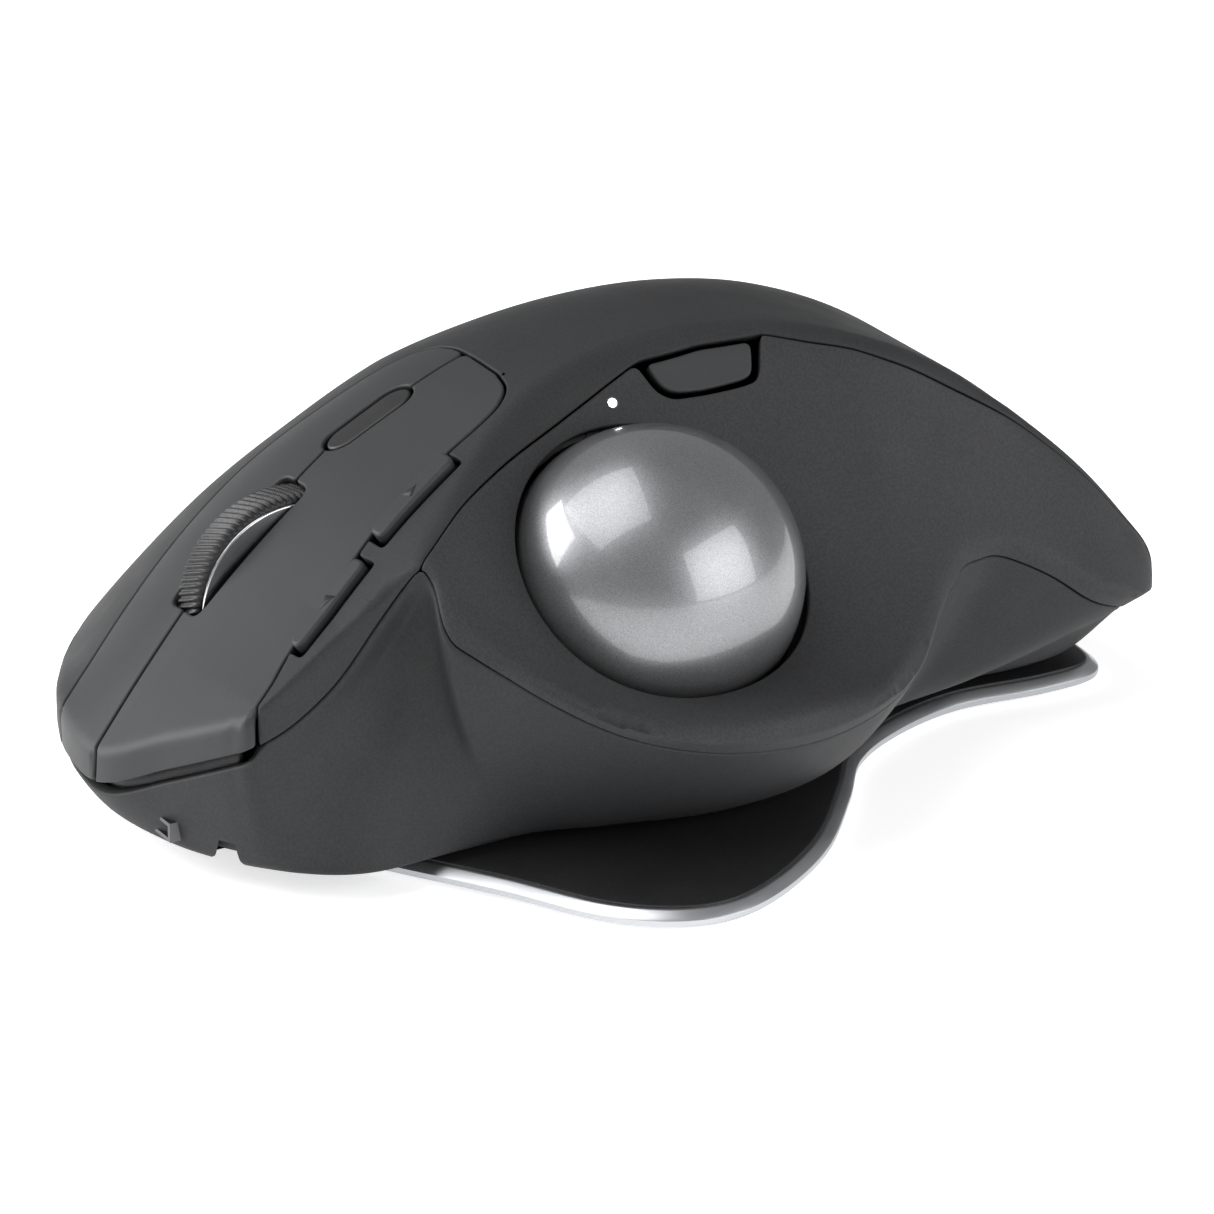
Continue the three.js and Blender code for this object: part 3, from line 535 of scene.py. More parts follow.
def round_profile(points, radius, steps=4):
    """A closed (radius, along) profile with rounded corners."""
    out = []
    n = len(points)
    for i in range(n):
        a, b, c = (np.array(points[k % n], float) for k in (i - 1, i, i + 1))
        u, v = a - b, c - b
        r = min(radius, 0.45 * np.linalg.norm(u), 0.45 * np.linalg.norm(v))
        s, e = b + u / np.linalg.norm(u) * r, b + v / np.linalg.norm(v) * r
        for t in np.linspace(0, 1, steps):
            out.append(tuple((1 - t) ** 2 * s + 2 * t * (1 - t) * b + t * t * e))
    return out


def flip_if_needed(verts, faces):
    """Faces turned outwards, judged from the signed volume."""
    v = np.asarray(verts)
    volume = 0.0
    for f in faces:
        for k in range(1, len(f) - 1):
            volume += np.dot(v[f[0]], np.cross(v[f[k]], v[f[k + 1]]))
    return faces if volume > 0 else [tuple(reversed(f)) for f in faces]


# ---------------------------------------------------------------- materials

def material(name, colour, rough, metal=0.0, grain=0.0, grain_scale=2500.0, vary=0.0,
             rough_vary=0.0, coat=0.0, coat_rough=0.05, speck=0.0, speck_scale=6000.0,
             emission=None, specular=0.5, stretch=None):
    mat = bpy.data.materials.new(name)
    mat.use_nodes = True
    tree = mat.node_tree
    tree.nodes.clear()
    out = tree.nodes.new("ShaderNodeOutputMaterial")
    bsdf = tree.nodes.new("ShaderNodeBsdfPrincipled")
    tree.links.new(bsdf.outputs[0], out.inputs[0])
    bsdf.inputs["Metallic"].default_value = metal
    bsdf.inputs["Coat Weight"].default_value = coat
    bsdf.inputs["Coat Roughness"].default_value = coat_rough
    bsdf.inputs["Specular IOR Level"].default_value = specular
    if emission:
        bsdf.inputs["Emission Color"].default_value = (*emission[0], 1)
        bsdf.inputs["Emission Strength"].default_value = emission[1]
    place = tree.nodes.new("ShaderNodeTexCoord")
    source = place.outputs["Object"]
    if stretch:
        mapping = tree.nodes.new("ShaderNodeMapping")
        mapping.inputs["Scale"].default_value = stretch
        tree.links.new(source, mapping.inputs["Vector"])
        source = mapping.outputs["Vector"]

    def noise(scale, detail=2.0, rough_=0.5):
        node = tree.nodes.new("ShaderNodeTexNoise")
        node.inputs["Scale"].default_value = scale
        node.inputs["Detail"].default_value = detail
        node.inputs["Roughness"].default_value = rough_
        tree.links.new(source, node.inputs["Vector"])
        return node.outputs["Fac"]

    def spread(fac, low, high, a=0.3, b=0.7):
        node = tree.nodes.new("ShaderNodeMapRange")
        node.inputs["From Min"].default_value = a
        node.inputs["From Max"].default_value = b
        node.inputs["To Min"].default_value = low
        node.inputs["To Max"].default_value = high
        tree.links.new(fac, node.inputs["Value"])
        return node.outputs["Result"]

    ramp = tree.nodes.new("ShaderNodeValToRGB")
    low = [max(c * (1 - vary), 0) for c in colour]
    high = [min(c * (1 + vary), 1) for c in colour]
    ramp.color_ramp.elements[0].position = 0.35
    ramp.color_ramp.elements[1].position = 0.65
    ramp.color_ramp.elements[0].color = (*low, 1)
    ramp.color_ramp.elements[1].color = (*high, 1)
    tree.links.new(noise(60.0, 4.0, 0.6), ramp.inputs[0])
    shade = ramp.outputs[0]
    if speck:
        mix = tree.nodes.new("ShaderNodeMix")
        mix.data_type = "RGBA"
        mix.blend_type = "MULTIPLY"
        mix.inputs["Factor"].default_value = 1.0
        grey = tree.nodes.new("ShaderNodeValToRGB")
        grey.color_ramp.elements[0].position = 0.35
        grey.color_ramp.elements[1].position = 0.65
        grey.color_ramp.elements[0].color = (1 - speck, 1 - speck, 1 - speck, 1)
        grey.color_ramp.elements[1].color = (1 + speck, 1 + speck, 1 + speck, 1)
        tree.links.new(noise(speck_scale, 1.0, 0.4), grey.inputs[0])
        tree.links.new(shade, mix.inputs[6])
        tree.links.new(grey.outputs[0], mix.inputs[7])
        shade = mix.outputs[2]
    tree.links.new(shade, bsdf.inputs["Base Color"])
    if rough_vary:
        tree.links.new(spread(noise(180.0, 3.0), max(rough - rough_vary, 0.02),
                              min(rough + rough_vary, 1)), bsdf.inputs["Roughness"])
    else:
        bsdf.inputs["Roughness"].default_value = rough
    if grain:
        bump = tree.nodes.new("ShaderNodeBump")
        bump.inputs["Strength"].default_value = 1.0
        bump.inputs["Distance"].default_value = grain * 0.001
        tree.links.new(noise(grain_scale, 3.0, 0.6), bump.inputs["Height"])
        tree.links.new(bump.outputs[0], bsdf.inputs["Normal"])
    return mat


graphite = material("soft_graphite", (0.027, 0.0276, 0.029), 0.6, grain=0.016,
                    grain_scale=2600, specular=0.2, vary=0.05, rough_vary=0.04, speck=0.10,
                    speck_scale=3600)
graphite_rest = material("thumb_rest_graphite", (0.032, 0.0327, 0.0343), 0.6, grain=0.02,
                         grain_scale=2300, specular=0.2, vary=0.05, rough_vary=0.04, speck=0.12,
                         speck_scale=3300)
graphite_low = material("case_graphite", (0.027, 0.0277, 0.0292), 0.6, grain=0.016,
                        grain_scale=2600, specular=0.2, vary=0.06, rough_vary=0.04, speck=0.10,
                        speck_scale=3600)
key_grey = material("key_graphite", (0.034, 0.0352, 0.0368), 0.5, grain=0.008,
                    grain_scale=4200, specular=0.25, vary=0.04, rough_vary=0.03, speck=0.05,
                    speck_scale=5200)
black = material("moulded_black", (0.012, 0.012, 0.013), 0.5, grain=0.012, vary=0.15,
                 rough_vary=0.06)
mark_black = material("printed_mark", (0.006, 0.006, 0.007), 0.6, grain=0.004, vary=0.1)
rubber = material("wheel_rubber", (0.008, 0.008, 0.009), 0.42, grain=0.008,
                  grain_scale=3000, vary=0.12, rough_vary=0.06)
pad_rubber = material("pad_rubber", (0.02, 0.02, 0.021), 0.85, grain=0.03,
                      grain_scale=1600, vary=0.15, rough_vary=0.05)
pearl = material("pearl_grey", (0.24, 0.244, 0.252), 0.36, metal=0.8, grain=0.006,
                 grain_scale=5200, vary=0.03, rough_vary=0.03, coat=0.9, coat_rough=0.04,
                 speck=0.22, speck_scale=9000)
film = material("plate_film", (0.016, 0.016, 0.017), 0.42, grain=0.006, grain_scale=3500,
                vary=0.1, rough_vary=0.04, speck=0.3, speck_scale=3600)
steel = material("brushed_edge", (0.5, 0.51, 0.53), 0.34, metal=1.0, grain=0.0015,
                 grain_scale=1400, vary=0.04, rough_vary=0.04, stretch=(1, 1, 8))
port_metal = material("port_metal", (0.1, 0.1, 0.105), 0.4, metal=1.0, grain=0.002,
                      grain_scale=1800, vary=0.08, rough_vary=0.06)
chrome = material("satin_chrome", (0.72, 0.73, 0.75), 0.17, metal=1.0, grain=0.002,
                  grain_scale=2500, vary=0.04, rough_vary=0.05)
board_green = material("board_green", (0.01, 0.07, 0.035), 0.45, grain=0.03,
                       grain_scale=700, vary=0.3, rough_vary=0.1)
foil = material("battery_foil", (0.45, 0.47, 0.5), 0.4, metal=0.6, grain=0.05,
                grain_scale=300, vary=0.1, rough_vary=0.1)
red = material("plunger_red", (0.5, 0.06, 0.03), 0.4, grain=0.01, vary=0.1)
clear = material("lens_clear", (0.6, 0.66, 0.7), 0.08, vary=0.02, rough_vary=0.02)
glow = material("lamp_glow", (0.9, 0.95, 1.0), 0.3, vary=0.02,
                emission=((0.92, 0.97, 1.0), 5.0))

CAD_LOOKS = [
    (pad_rubber, "base_pad"),
    (steel, "hinge_bracket hinge_arm"),
    (chrome, "hinge_pin bearing_front bearing_rear bearing_low wheel_axle screw_1 screw_2"
     " screw_3 screw_4"),
    (black, "ball_socket optical_sensor wheel_hub wheel_yoke wheel_cradle left_switch"
     " right_switch power_slider"),
    (clear, "sensor_lens"),
    (red, "left_plunger right_plunger"),
    (graphite_low, "left_switch_stand right_switch_stand"),
    (board_green, "main_board"),
    (foil, "battery"),
    (port_metal, "usb_port"),
]
for look, nodes in CAD_LOOKS:
    for node in nodes.split():
        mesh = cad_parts[node].data
        mesh.materials.clear()
        mesh.materials.append(look)

# ---------------------------------------------------------------- outlines of the skins

half = KEY_GAP / 2
thin = SEAM_GAP / 2
KEY_LEFT = spline([(-20.0, 54.0), (-19.0, 51.6), (-17.2, 48.4), (-14.7, 41.5),
                   (-12.6, 35.8), (-10.7, 30.2), (-9.2, 24.4), (-8.3, 20.0),
                   (-7.0, 16.8), (-4.4, 14.5), (-0.8, 13.5)], 0.5)
KEY_RIGHT = spline([(12.2, 62.3), (14.2, 58.4), (16.8, 53), (18.8, 47), (20.2, 39),
                    (20.0, 30), (18.0, 21), (15.3, 15.8), (12.5, 13.9), (9.5, 13.3)], 0.5)
SPLIT_FRONT = [(0.55, 63.6), (2.2, 58.4), (4.4, 51.6)]
SLOT_NEAR = [(2.6, 35.6), (1.6, 50.5)]  # rear and front corners on the ball's side
SLOT_FAR = [(8.7, 35.6), (8.3, 50.5)]
SLOT_ROUND = 2.2
MODE_C, MODE_X, MODE_Y = (7.0, 25.8), 2.45, 5.5


def oval(side, count=15):
    """Half of the mode key's slot: side -1 is its left half, from the rear to the front."""
    out = []
    for k in range(count):
        a = math.pi * k / (count - 1)
        x = MODE_C[0] + side * MODE_X * math.sin(a)
        y = MODE_C[1] - math.cos(a) * MODE_X
        y += (MODE_Y - MODE_X) * (1 if a > math.pi / 2 else -1)
        out.append((x, y))
    return out


def seam_arc(a0, a1, shift, step=0.5):
    count = max(2, int(abs(a1 - a0) / step) + 1)
    return seam_points(np.linspace(a0, a1, count), shift)


def shift_side(line, distance):
    """An open plan line moved sideways, to its left."""
    p = np.asarray(line, float)
    t = np.gradient(p, axis=0)
    t /= np.linalg.norm(t, axis=1, keepdims=True)
    return p + np.column_stack([-t[:, 1], t[:, 0]]) * distance


def angle_of(point):
    return float(degrees(point[0], point[1]))


# left key: rim, left edge, rear edge, then forward along the split
left_edge = shift_side(KEY_LEFT, half)  # travelling rearwards, its left is +X
left_path = rounded(
    list(map(tuple, left_edge)) + [(6.9 - half, 13.5), (6.9 - half, 20.4)], 0.9)
REAR_Y, FRONT_Y = SLOT_NEAR[0][1], SLOT_NEAR[1][1]
split_left = rounded(
    [(6.9 - half, 20.4)] + oval(-1) + [(6.9 - half, 31.3), (6.0 - half, REAR_Y - 0.2)], 0.5)
slot_left = rounded(
    [(6.0 - half, REAR_Y - 0.2), (6.0 - half, REAR_Y), SLOT_NEAR[0], SLOT_NEAR[1],
     (4.5 - half, FRONT_Y), (4.5 - half, FRONT_Y + 0.2)], SLOT_ROUND)
front_left = rounded(
    [(4.5 - half, FRONT_Y + 0.2)] + [(x - half, y) for x, y in SPLIT_FRONT[::-1]][1:], 0.4)
KEY_FRONT_ANGLE = 110.9
left_loop = np.vstack([
    seam_arc(89.75, KEY_FRONT_ANGLE - 0.15, half),
    drop(left_path), drop(split_left), drop(slot_left), drop(front_left)])

right_edge_line = shift_side(KEY_RIGHT, -half)  # travelling rearwards, its right is -X
split_right = rounded(
    [(x + half, y) for x, y in SPLIT_FRONT[:2]] + [(4.5 + half, FRONT_Y + 0.2)], 0.4)
slot_right = rounded(
    [(4.5 + half, FRONT_Y + 0.2), (4.5 + half, FRONT_Y), SLOT_FAR[1], SLOT_FAR[0],
     (6.0 + half, REAR_Y), (6.0 + half, REAR_Y - 0.2)], SLOT_ROUND)
oval_right = rounded(
    [(6.0 + half, REAR_Y - 0.2), (6.9 + half, 31.3)] + list(reversed(oval(1)))
    + [(6.9 + half, 20.4)], 0.5)
rear_right = rounded(
    [(6.9 + half, 20.4), (6.9 + half, 13.5)]
    + list(map(tuple, right_edge_line[::-1])), 0.9)
right_front_angle = angle_of(right_edge_line[0])
right_loop = np.vstack([
    seam_arc(right_front_angle + 0.1, 89.3, half),
    drop(split_right), drop(slot_right), drop(oval_right), drop(rear_right)])

BACK_KEY = [(-14.3, 38.5), (-16.9, 47.9), (-18.9, 47.8), (-16.6, 38.3)]
FORWARD_KEY = [(-9.1, 24.9), (-12.7, 35.8), (-15.3, 35.7), (-12.1, 24.9)]


def detour(key, grow):
    """The outer side of a side key's well, travelling forwards."""
    inner_rear, inner_front, outer_front, outer_rear = (np.array(p) for p in key)
    out = outer_rear - inner_rear
    out /= np.linalg.norm(out)
    along = inner_front - inner_rear
    along /= np.linalg.norm(along)
    return [inner_rear - along * grow, outer_rear - along * grow + out * grow,
            outer_front + along * grow + out * grow, inner_front + along * grow]


arm_line = shift_side(KEY_LEFT, -half)[::-1]  # travelling forwards
back_low, back_high = 38.6 - 0.7, 48.0 + 0.7
forward_low, forward_high = 25.3 - 0.7, 36.0 + 0.7
arm_points = [tuple(p) for p in arm_line if p[1] < forward_low]
arm_points += [tuple(p) for p in detour(FORWARD_KEY, 0.55)]
arm_points += [tuple(p) for p in arm_line if forward_high < p[1] < back_low]
arm_points += [tuple(p) for p in detour(BACK_KEY, 0.55)]
arm_points += [tuple(p) for p in arm_line if p[1] > back_high]
arm_path = rounded(arm_points, 0.5, 0.35)

SEAM_FRONT = spline([(-22.95, 35.3), (-19.9, 30.6), (-17, 25.8), (-13.5, 18.9),
                     (-10.6, 11), (-8.7, 4.7), (-7.6, 0.2)], 0.5)
SEAM_REAR = spline([(-9.0, -16.0), (-10.9, -20.4), (-12.8, -25.4), (-14.8, -30.9),
                    (-16.4, -36.7), (-17.9, -42.6), (-18.9, -48.5), (-19.3, -55),
                    (-19.0, -62.6)], 0.5)
KEY_TOP = [(-7.4, -1.2), (-7.8, -8.4), (-8.95, -15.2)]
KEY_BOTTOM = [(-11.75, -14.2), (-11.65, -12.4), (-10.95, -7.0), (-10.5, -3.6), (-9.7, -2.0)]

palm_seam = rounded(
    [tuple(p) for p in shift_side(SEAM_FRONT, thin)]
    + [(x + 0.1, y) for x, y in KEY_TOP]
    + [tuple(p) for p in shift_side(SEAM_REAR, thin)], 0.8)
tail_angle = angle_of(SEAM_REAR[-1])
v_angle = angle_of(SEAM_FRONT[0])
right_line = shift_side(KEY_RIGHT, half)
rear_line = rounded(
    [tuple(p) for p in right_line] + [(6.9, 13.5 - KEY_GAP)]
    + [tuple(p) for p in arm_line[:3]], 0.9)
palm_loop = np.vstack([
    seam_arc(tail_angle + 0.15, 360 + angle_of(right_line[0]) - 0.1, thin),
    drop(rear_line), drop(arm_path[2:]),
    seam_arc(KEY_FRONT_ANGLE + 0.15, v_angle - 0.25, thin),
    drop(palm_seam)])

thumb_front = shift_side(SEAM_FRONT, -thin)[::-1]
thumb_rear = shift_side(SEAM_REAR, -thin)[::-1]
thumb_path = rounded(
    [tuple(p) for p in thumb_rear] + [(-9.3, -15.8)] + KEY_BOTTOM + [(-7.75, -0.6)]
    + [tuple(p) for p in thumb_front], 0.7, 0.35)
thumb_loop = np.vstack([
    seam_arc(v_angle + 0.2, tail_angle - 0.15, thin), drop(thumb_path)])


def ball_ring(radius, count=150):
    """Where the skin meets a sphere round the ball, going clockwise seen from outside."""
    e1 = np.cross([0, 0, 1.0], BALL_N)
    e1 /= np.linalg.norm(e1)
    e2 = np.cross(BALL_N, e1)
    a = -2 * math.pi * np.arange(count) / count
    flat = np.cos(a)[:, None] * e1 + np.sin(a)[:, None] * e2
    low = np.full(count, math.radians(-50))
    high = np.full(count, math.radians(75))
    for _ in range(30):
        mid = (low + high) / 2
        p = BALL_C + radius * (flat * np.cos(mid)[:, None] + BALL_N * np.sin(mid)[:, None])
        out = body_field(p) > 0
        high = np.where(out, mid, high)
        low = np.where(out, low, mid)
    return p


lamp_centre = drop([(-9.6, 3.6)])[0]
lamp_n = normals_at(lamp_centre[None])[0]


def ring_on_skin(centre, normal, radius, count=24):
    e1 = np.cross([0, 1.0, 0], normal)
    e1 /= np.linalg.norm(e1)
    e2 = np.cross(normal, e1)
    a = -2 * math.pi * np.arange(count) / count
    p = centre + radius * (np.cos(a)[:, None] * e1 + np.sin(a)[:, None] * e2)
    return cast(p)


# ---------------------------------------------------------------- the skins

skin_panel("palm_skin", [palm_loop], "mouse", "shell", graphite,
           replaces=("palm_shell",), edge=0.26)
skin_panel("thumb_rest_skin",
           [thumb_loop, ball_ring(BALL_R + 0.75), ring_on_skin(lamp_centre, lamp_n, LAMP_HOLE)],
           "mouse", "shell", graphite_rest, replaces=("thumb_rest",), edge=0.24,
           spacing=0.65, eye=THUMB_EYE)
skin_panel("left_key_skin", [left_loop], "left_button", "keycap", key_grey,
           replaces=("left_button",))
skin_panel("right_key_skin", [right_loop], "right_button", "keycap", key_grey,
           replaces=("right_button",))


def closed_plan(points, radius, spacing=0.3):
    line = rounded(points, radius, spacing, closed=True)
    area = np.sum(line[:, 0] * np.roll(line[:, 1], -1) - np.roll(line[:, 0], -1) * line[:, 1])
    return line if area > 0 else line[::-1]


FINE = {"depth": 1.6, "spacing": 0.5, "loop_spacing": 0.3}  # meshing of the small keys
skin_panel("back_key_skin", [drop(closed_plan(BACK_KEY, 0.9))], "back_button", "keycap",
           key_grey, replaces=("back_button",), raise_by=SIDE_RAISE, edge=0.45, **FINE)
skin_panel("forward_key_skin", [drop(closed_plan(FORWARD_KEY, 0.9))], "forward_button",
           "keycap", key_grey, replaces=("forward_button",), raise_by=SIDE_RAISE, edge=0.45,
           **FINE)
precision = [(-7.75, -1.7), (-8.1, -8.5), (-9.2, -14.6), (-11.2, -13.6), (-11.2, -12.3),
             (-10.6, -7.1), (-10.1, -4.1), (-9.45, -2.7)]
skin_panel("precision_key_skin", [drop(closed_plan(precision, 0.9))],
           "precision_button", "keycap", key_grey, replaces=("precision_button",),
           raise_by=-0.1, edge=0.3, **FINE)
mode_outline = [(MODE_C[0] + (x - MODE_C[0]) * 0.84, MODE_C[1] + (y - MODE_C[1]) * 0.93)
                for x, y in oval(-1) + list(reversed(oval(1)))]
skin_panel("mode_key_skin", [drop(closed_plan(mode_outline, 0.4))], "mode_button",
           "black_plastic", black, replaces=("mode_button",), raise_by=-0.15, edge=0.35,
           swell=0.35, **FINE)


def arrow_mark(name, key, body, toward):
    """A small triangle printed on a side key, pointing along the key."""
    corners = np.array(key, float)
    centre = corners.mean(0)
    along = (corners[1] + corners[2] - corners[0] - corners[3]) / 2
    along = along / np.linalg.norm(along) * toward
    across = np.array([-along[1], along[0]])
    plan = np.array([centre + along * 0.94, centre - along * 0.69 + across * 0.78,
                     centre - along * 0.69 - across * 0.78])
    edge = []
    for a, b in zip(plan, np.roll(plan, -1, axis=0)):
        edge += [a + (b - a) * t for t in (0, 0.25, 0.5, 0.75)]
    base = drop(np.array(edge))
    n = normals_at(base)
    count = len(base)
    over, under = SIDE_RAISE + MARK, SIDE_RAISE - 2 * MARK
    top = base + n * over
    low = base + n * under
    mid = drop(centre[None])
    mid_n = normals_at(mid)
    verts = np.vstack([low, top, mid + mid_n * under, mid + mid_n * over])
    faces = []
    for i in range(count):
        j = (i + 1) % count
        faces += [(i, j, count + j, count + i), (j, i, 2 * count),
                  (count + i, count + j, 2 * count + 1)]
    build(name, verts, flip_if_needed(verts, faces), body, mark_black)


arrow_mark("back_arrow", BACK_KEY, "back_button", 1)
arrow_mark("forward_arrow", FORWARD_KEY, "forward_button", -1)


def front_strip():
    """The dark strip behind the gap under the front lip of the main keys."""
    angles = np.linspace(66.5, 107.5, 110)
    out = np.column_stack([np.cos(np.radians(angles)), np.sin(np.radians(angles)),
                           np.zeros(len(angles))])
    section = [(2.15, -3.2), (1.9, -2.95), (1.9, 0.35), (2.15, 0.6),
               (2.85, 0.6), (3.1, 0.35), (3.1, -2.95), (2.85, -3.2)]
    rows = [seam_points(angles, rise) - out * depth for depth, rise in section]
    n, count = len(section), len(angles)
    verts = np.stack(rows, 1).reshape(-1, 3)
    faces = [tuple(range(n)), tuple(reversed(range((count - 1) * n, count * n)))]
    for i in range(count - 1):
        for k in range(n):
            m = (k + 1) % n
            faces.append((i * n + m, i * n + k, (i + 1) * n + k, (i + 1) * n + m))
    build("front_strip", verts, flip_if_needed(verts, faces), "mouse",
          black, replaces=("front_bumper",))


front_strip()


def lamp_lens():
    """The small glowing lens of the status lamp."""
    profile = [(0.02, -0.9), (0.5, -0.9), (0.5, -0.12), (0.46, -0.04), (0.34, 0.03),
               (0.18, 0.06), (0.02, 0.07)]
    verts, faces = lathe(profile, 40, lamp_centre, lamp_n)
    build("lamp_skin", verts, flip_if_needed(verts, faces), "mouse", glow,
          replaces=("status_lamp",))


lamp_lens()


# ---------------------------------------------------------------- lower case

def lower_case():
    step = 0.5
    angles = np.arange(0, 360, step)
    a = np.radians(angles)
    front = smoothstep(angles, 62, 66) * (1 - smoothstep(angles, 110.4, 111.4))
    z_top = seam_height(angles) - thin - 1.35 * front
    inside = np.column_stack([3 * np.cos(a), 3 * np.sin(a), z_top])
    outside = np.column_stack([95 * np.cos(a), 95 * np.sin(a), z_top])
    top = bisect(inside, outside)
    radius = foot_radius(angles)
    for _ in range(8):
        z = keel_z(radius * np.cos(a))
        radius = wall_radius(angles, z)
    foot = np.column_stack([radius * np.cos(a), radius * np.sin(a), z])
    rows_v, rows_n = [], []

    def add(p, n):
        rows_v.append(p)
        rows_n.append(n)

    n_top = normals_at(top)
    tangent = np.roll(top, -1, axis=0) - np.roll(top, 1, axis=0)
    side = blur(np.cross(tangent, n_top), 2)  # down the wall
    add(top - n_top * SKIN, -side * 0.7 - n_top * 0.7)
    edge = 0.3
    for k in range(5):
        t = math.pi / 2 * k / 4
        add(top + side * edge * (1 - math.cos(t)) - n_top * edge * (1 - math.sin(t)),
            n_top * math.sin(t) - side * math.cos(t))
    start = top + side * edge
    for f in np.linspace(0, 1, 31)[1:]:
        f = f * 0.96
        p = cast(start * (1 - f) + foot * f)
        add(p, normals_at(p))
    for f in (0.975, 0.988, 1.0):
        p = cast(start * (1 - f) + foot * f)
        add(p, normals_at(p))
    keel_r = np.where(np.cos(a) > 0.35, (KEEL_X - 1) / np.maximum(np.cos(a), 0.35),
                      radius * 0.5)
    keel_r = np.minimum(keel_r, radius * 0.85)
    for f in (0.99, 0.978, 0.96, 0.93, 0.87, 0.78, 0.65, 0.5, 0.35, 0.2, 0.1, 0.03, 0.0):
        r = keel_r + (radius - keel_r) * f
        aim = np.column_stack([r * np.cos(a), r * np.sin(a), keel_z(r * np.cos(a))])
        p = cast(aim)
        add(p, normals_at(p))
    for f in (0.75, 0.45, 0.2):
        r = keel_r * f
        p = np.column_stack([r * np.cos(a), r * np.sin(a), np.full(len(a), FLOOR_Z)])
        add(p, np.tile([0, 0, -1.0], (len(a), 1)))
    outer = np.vstack(rows_v)
    outer_n = np.vstack(rows_n)
    rows = len(rows_v)
    count = len(angles)
    faces = []
    for r in range(rows - 1):
        for i in range(count):
            j = (i + 1) % count
            faces.append((r * count + i, (r + 1) * count + i, (r + 1) * count + j,
                          r * count + j))
    centre = rows * count
    verts = [outer, [[0, 0, FLOOR_Z]]]
    norms = [outer_n, [[0, 0, -1.0]]]
    for i in range(count):
        faces.append(((rows - 1) * count + i, centre, (rows - 1) * count + (i + 1) % count))
    picks = list(range(5, rows, 3))
    base = centre + 1
    for r in picks:
        verts.append(rows_v[r] - rows_n[r] * SKIN)
        norms.append(-rows_n[r])
    verts.append([[0, 0, FLOOR_Z + SKIN]])
    norms.append([[0, 0, 1.0]])
    last = base + len(picks) * count
    for k in range(len(picks) - 1):
        for i in range(count):
            j = (i + 1) % count
            a0, b0 = base + k * count, base + (k + 1) * count
            faces.append((a0 + j, b0 + j, b0 + i, a0 + i))
    for i in range(count):
        j = (i + 1) % count
        faces.append((base + (len(picks) - 1) * count + j, last,
                      base + (len(picks) - 1) * count + i))
        faces.append((i, j, base + j, base + i))
    verts = np.vstack(verts)
    norms = np.vstack(norms)
    return build("case_skin", verts, faces, "mouse", graphite_low, norms,
                 ("lower_case",))


case = lower_case()


KEPT_SHARE = 0.9  # a cut that leaves fewer of the skin's points is not used


def cut(target, name, x0, x1, y0, y1, z0, z1, radius=0.5):
    """Cuts a rounded box out of a skin, or leaves the skin whole if the cut fails."""
    plan = [(x0, y0), (x1, y0), (x1, y1), (x0, y1)]
    line = closed_plan(plan, radius, 0.25)
    n = len(line)
    verts = np.vstack([np.column_stack([line, np.full(n, z0)]),
                       np.column_stack([line, np.full(n, z1)])])
    faces = [tuple(reversed(range(n))), tuple(range(n, 2 * n))]
    faces += [(i, (i + 1) % n, n + (i + 1) % n, n + i) for i in range(n)]
    mesh = bpy.data.meshes.new(name)
    mesh.from_pydata(((verts + CENTRE_SHIFT) * 0.001).tolist(), [], faces)
    cutter = bpy.data.objects.new(name, mesh)
    bpy.context.scene.collection.objects.link(cutter)
    mod = target.modifiers.new(name, "BOOLEAN")
    mod.operation = "DIFFERENCE"
    mod.solver = "FAST"
    mod.object = cutter
    bpy.context.view_layer.update()
    shaped = bpy.data.meshes.new_from_object(
        target.evaluated_get(bpy.context.evaluated_depsgraph_get()))
    target.modifiers.remove(mod)
    old = target.data
    if len(shaped.vertices) > KEPT_SHARE * len(old.vertices):
        target.data = shaped
        bpy.data.meshes.remove(old)
    bpy.data.objects.remove(cutter)


cut(case, "hinge_window", KEEL_X - 4, KEEL_X + 5, -25, 25, -1, 9.5)
cut(case, "slider_opening", -17, -11.5, 49, 56.5, -1, 6.5)

# ---------------------------------------------------------------- ball

def make_ball():
    bm = bmesh.new()
    bmesh.ops.create_icosphere(bm, subdivisions=6, radius=BALL_R)
    verts = np.array([tuple(v.co) for v in bm.verts])
    verts = verts / np.linalg.norm(verts, axis=1, keepdims=True)
    faces = [tuple(v.index for v in f.verts) for f in bm.faces]
    bm.free()
    build("ball_skin", verts * BALL_R + BALL_C, faces, "trackball", pearl, verts,
          ("trackball",))


make_ball()


# ---------------------------------------------------------------- scroll wheel

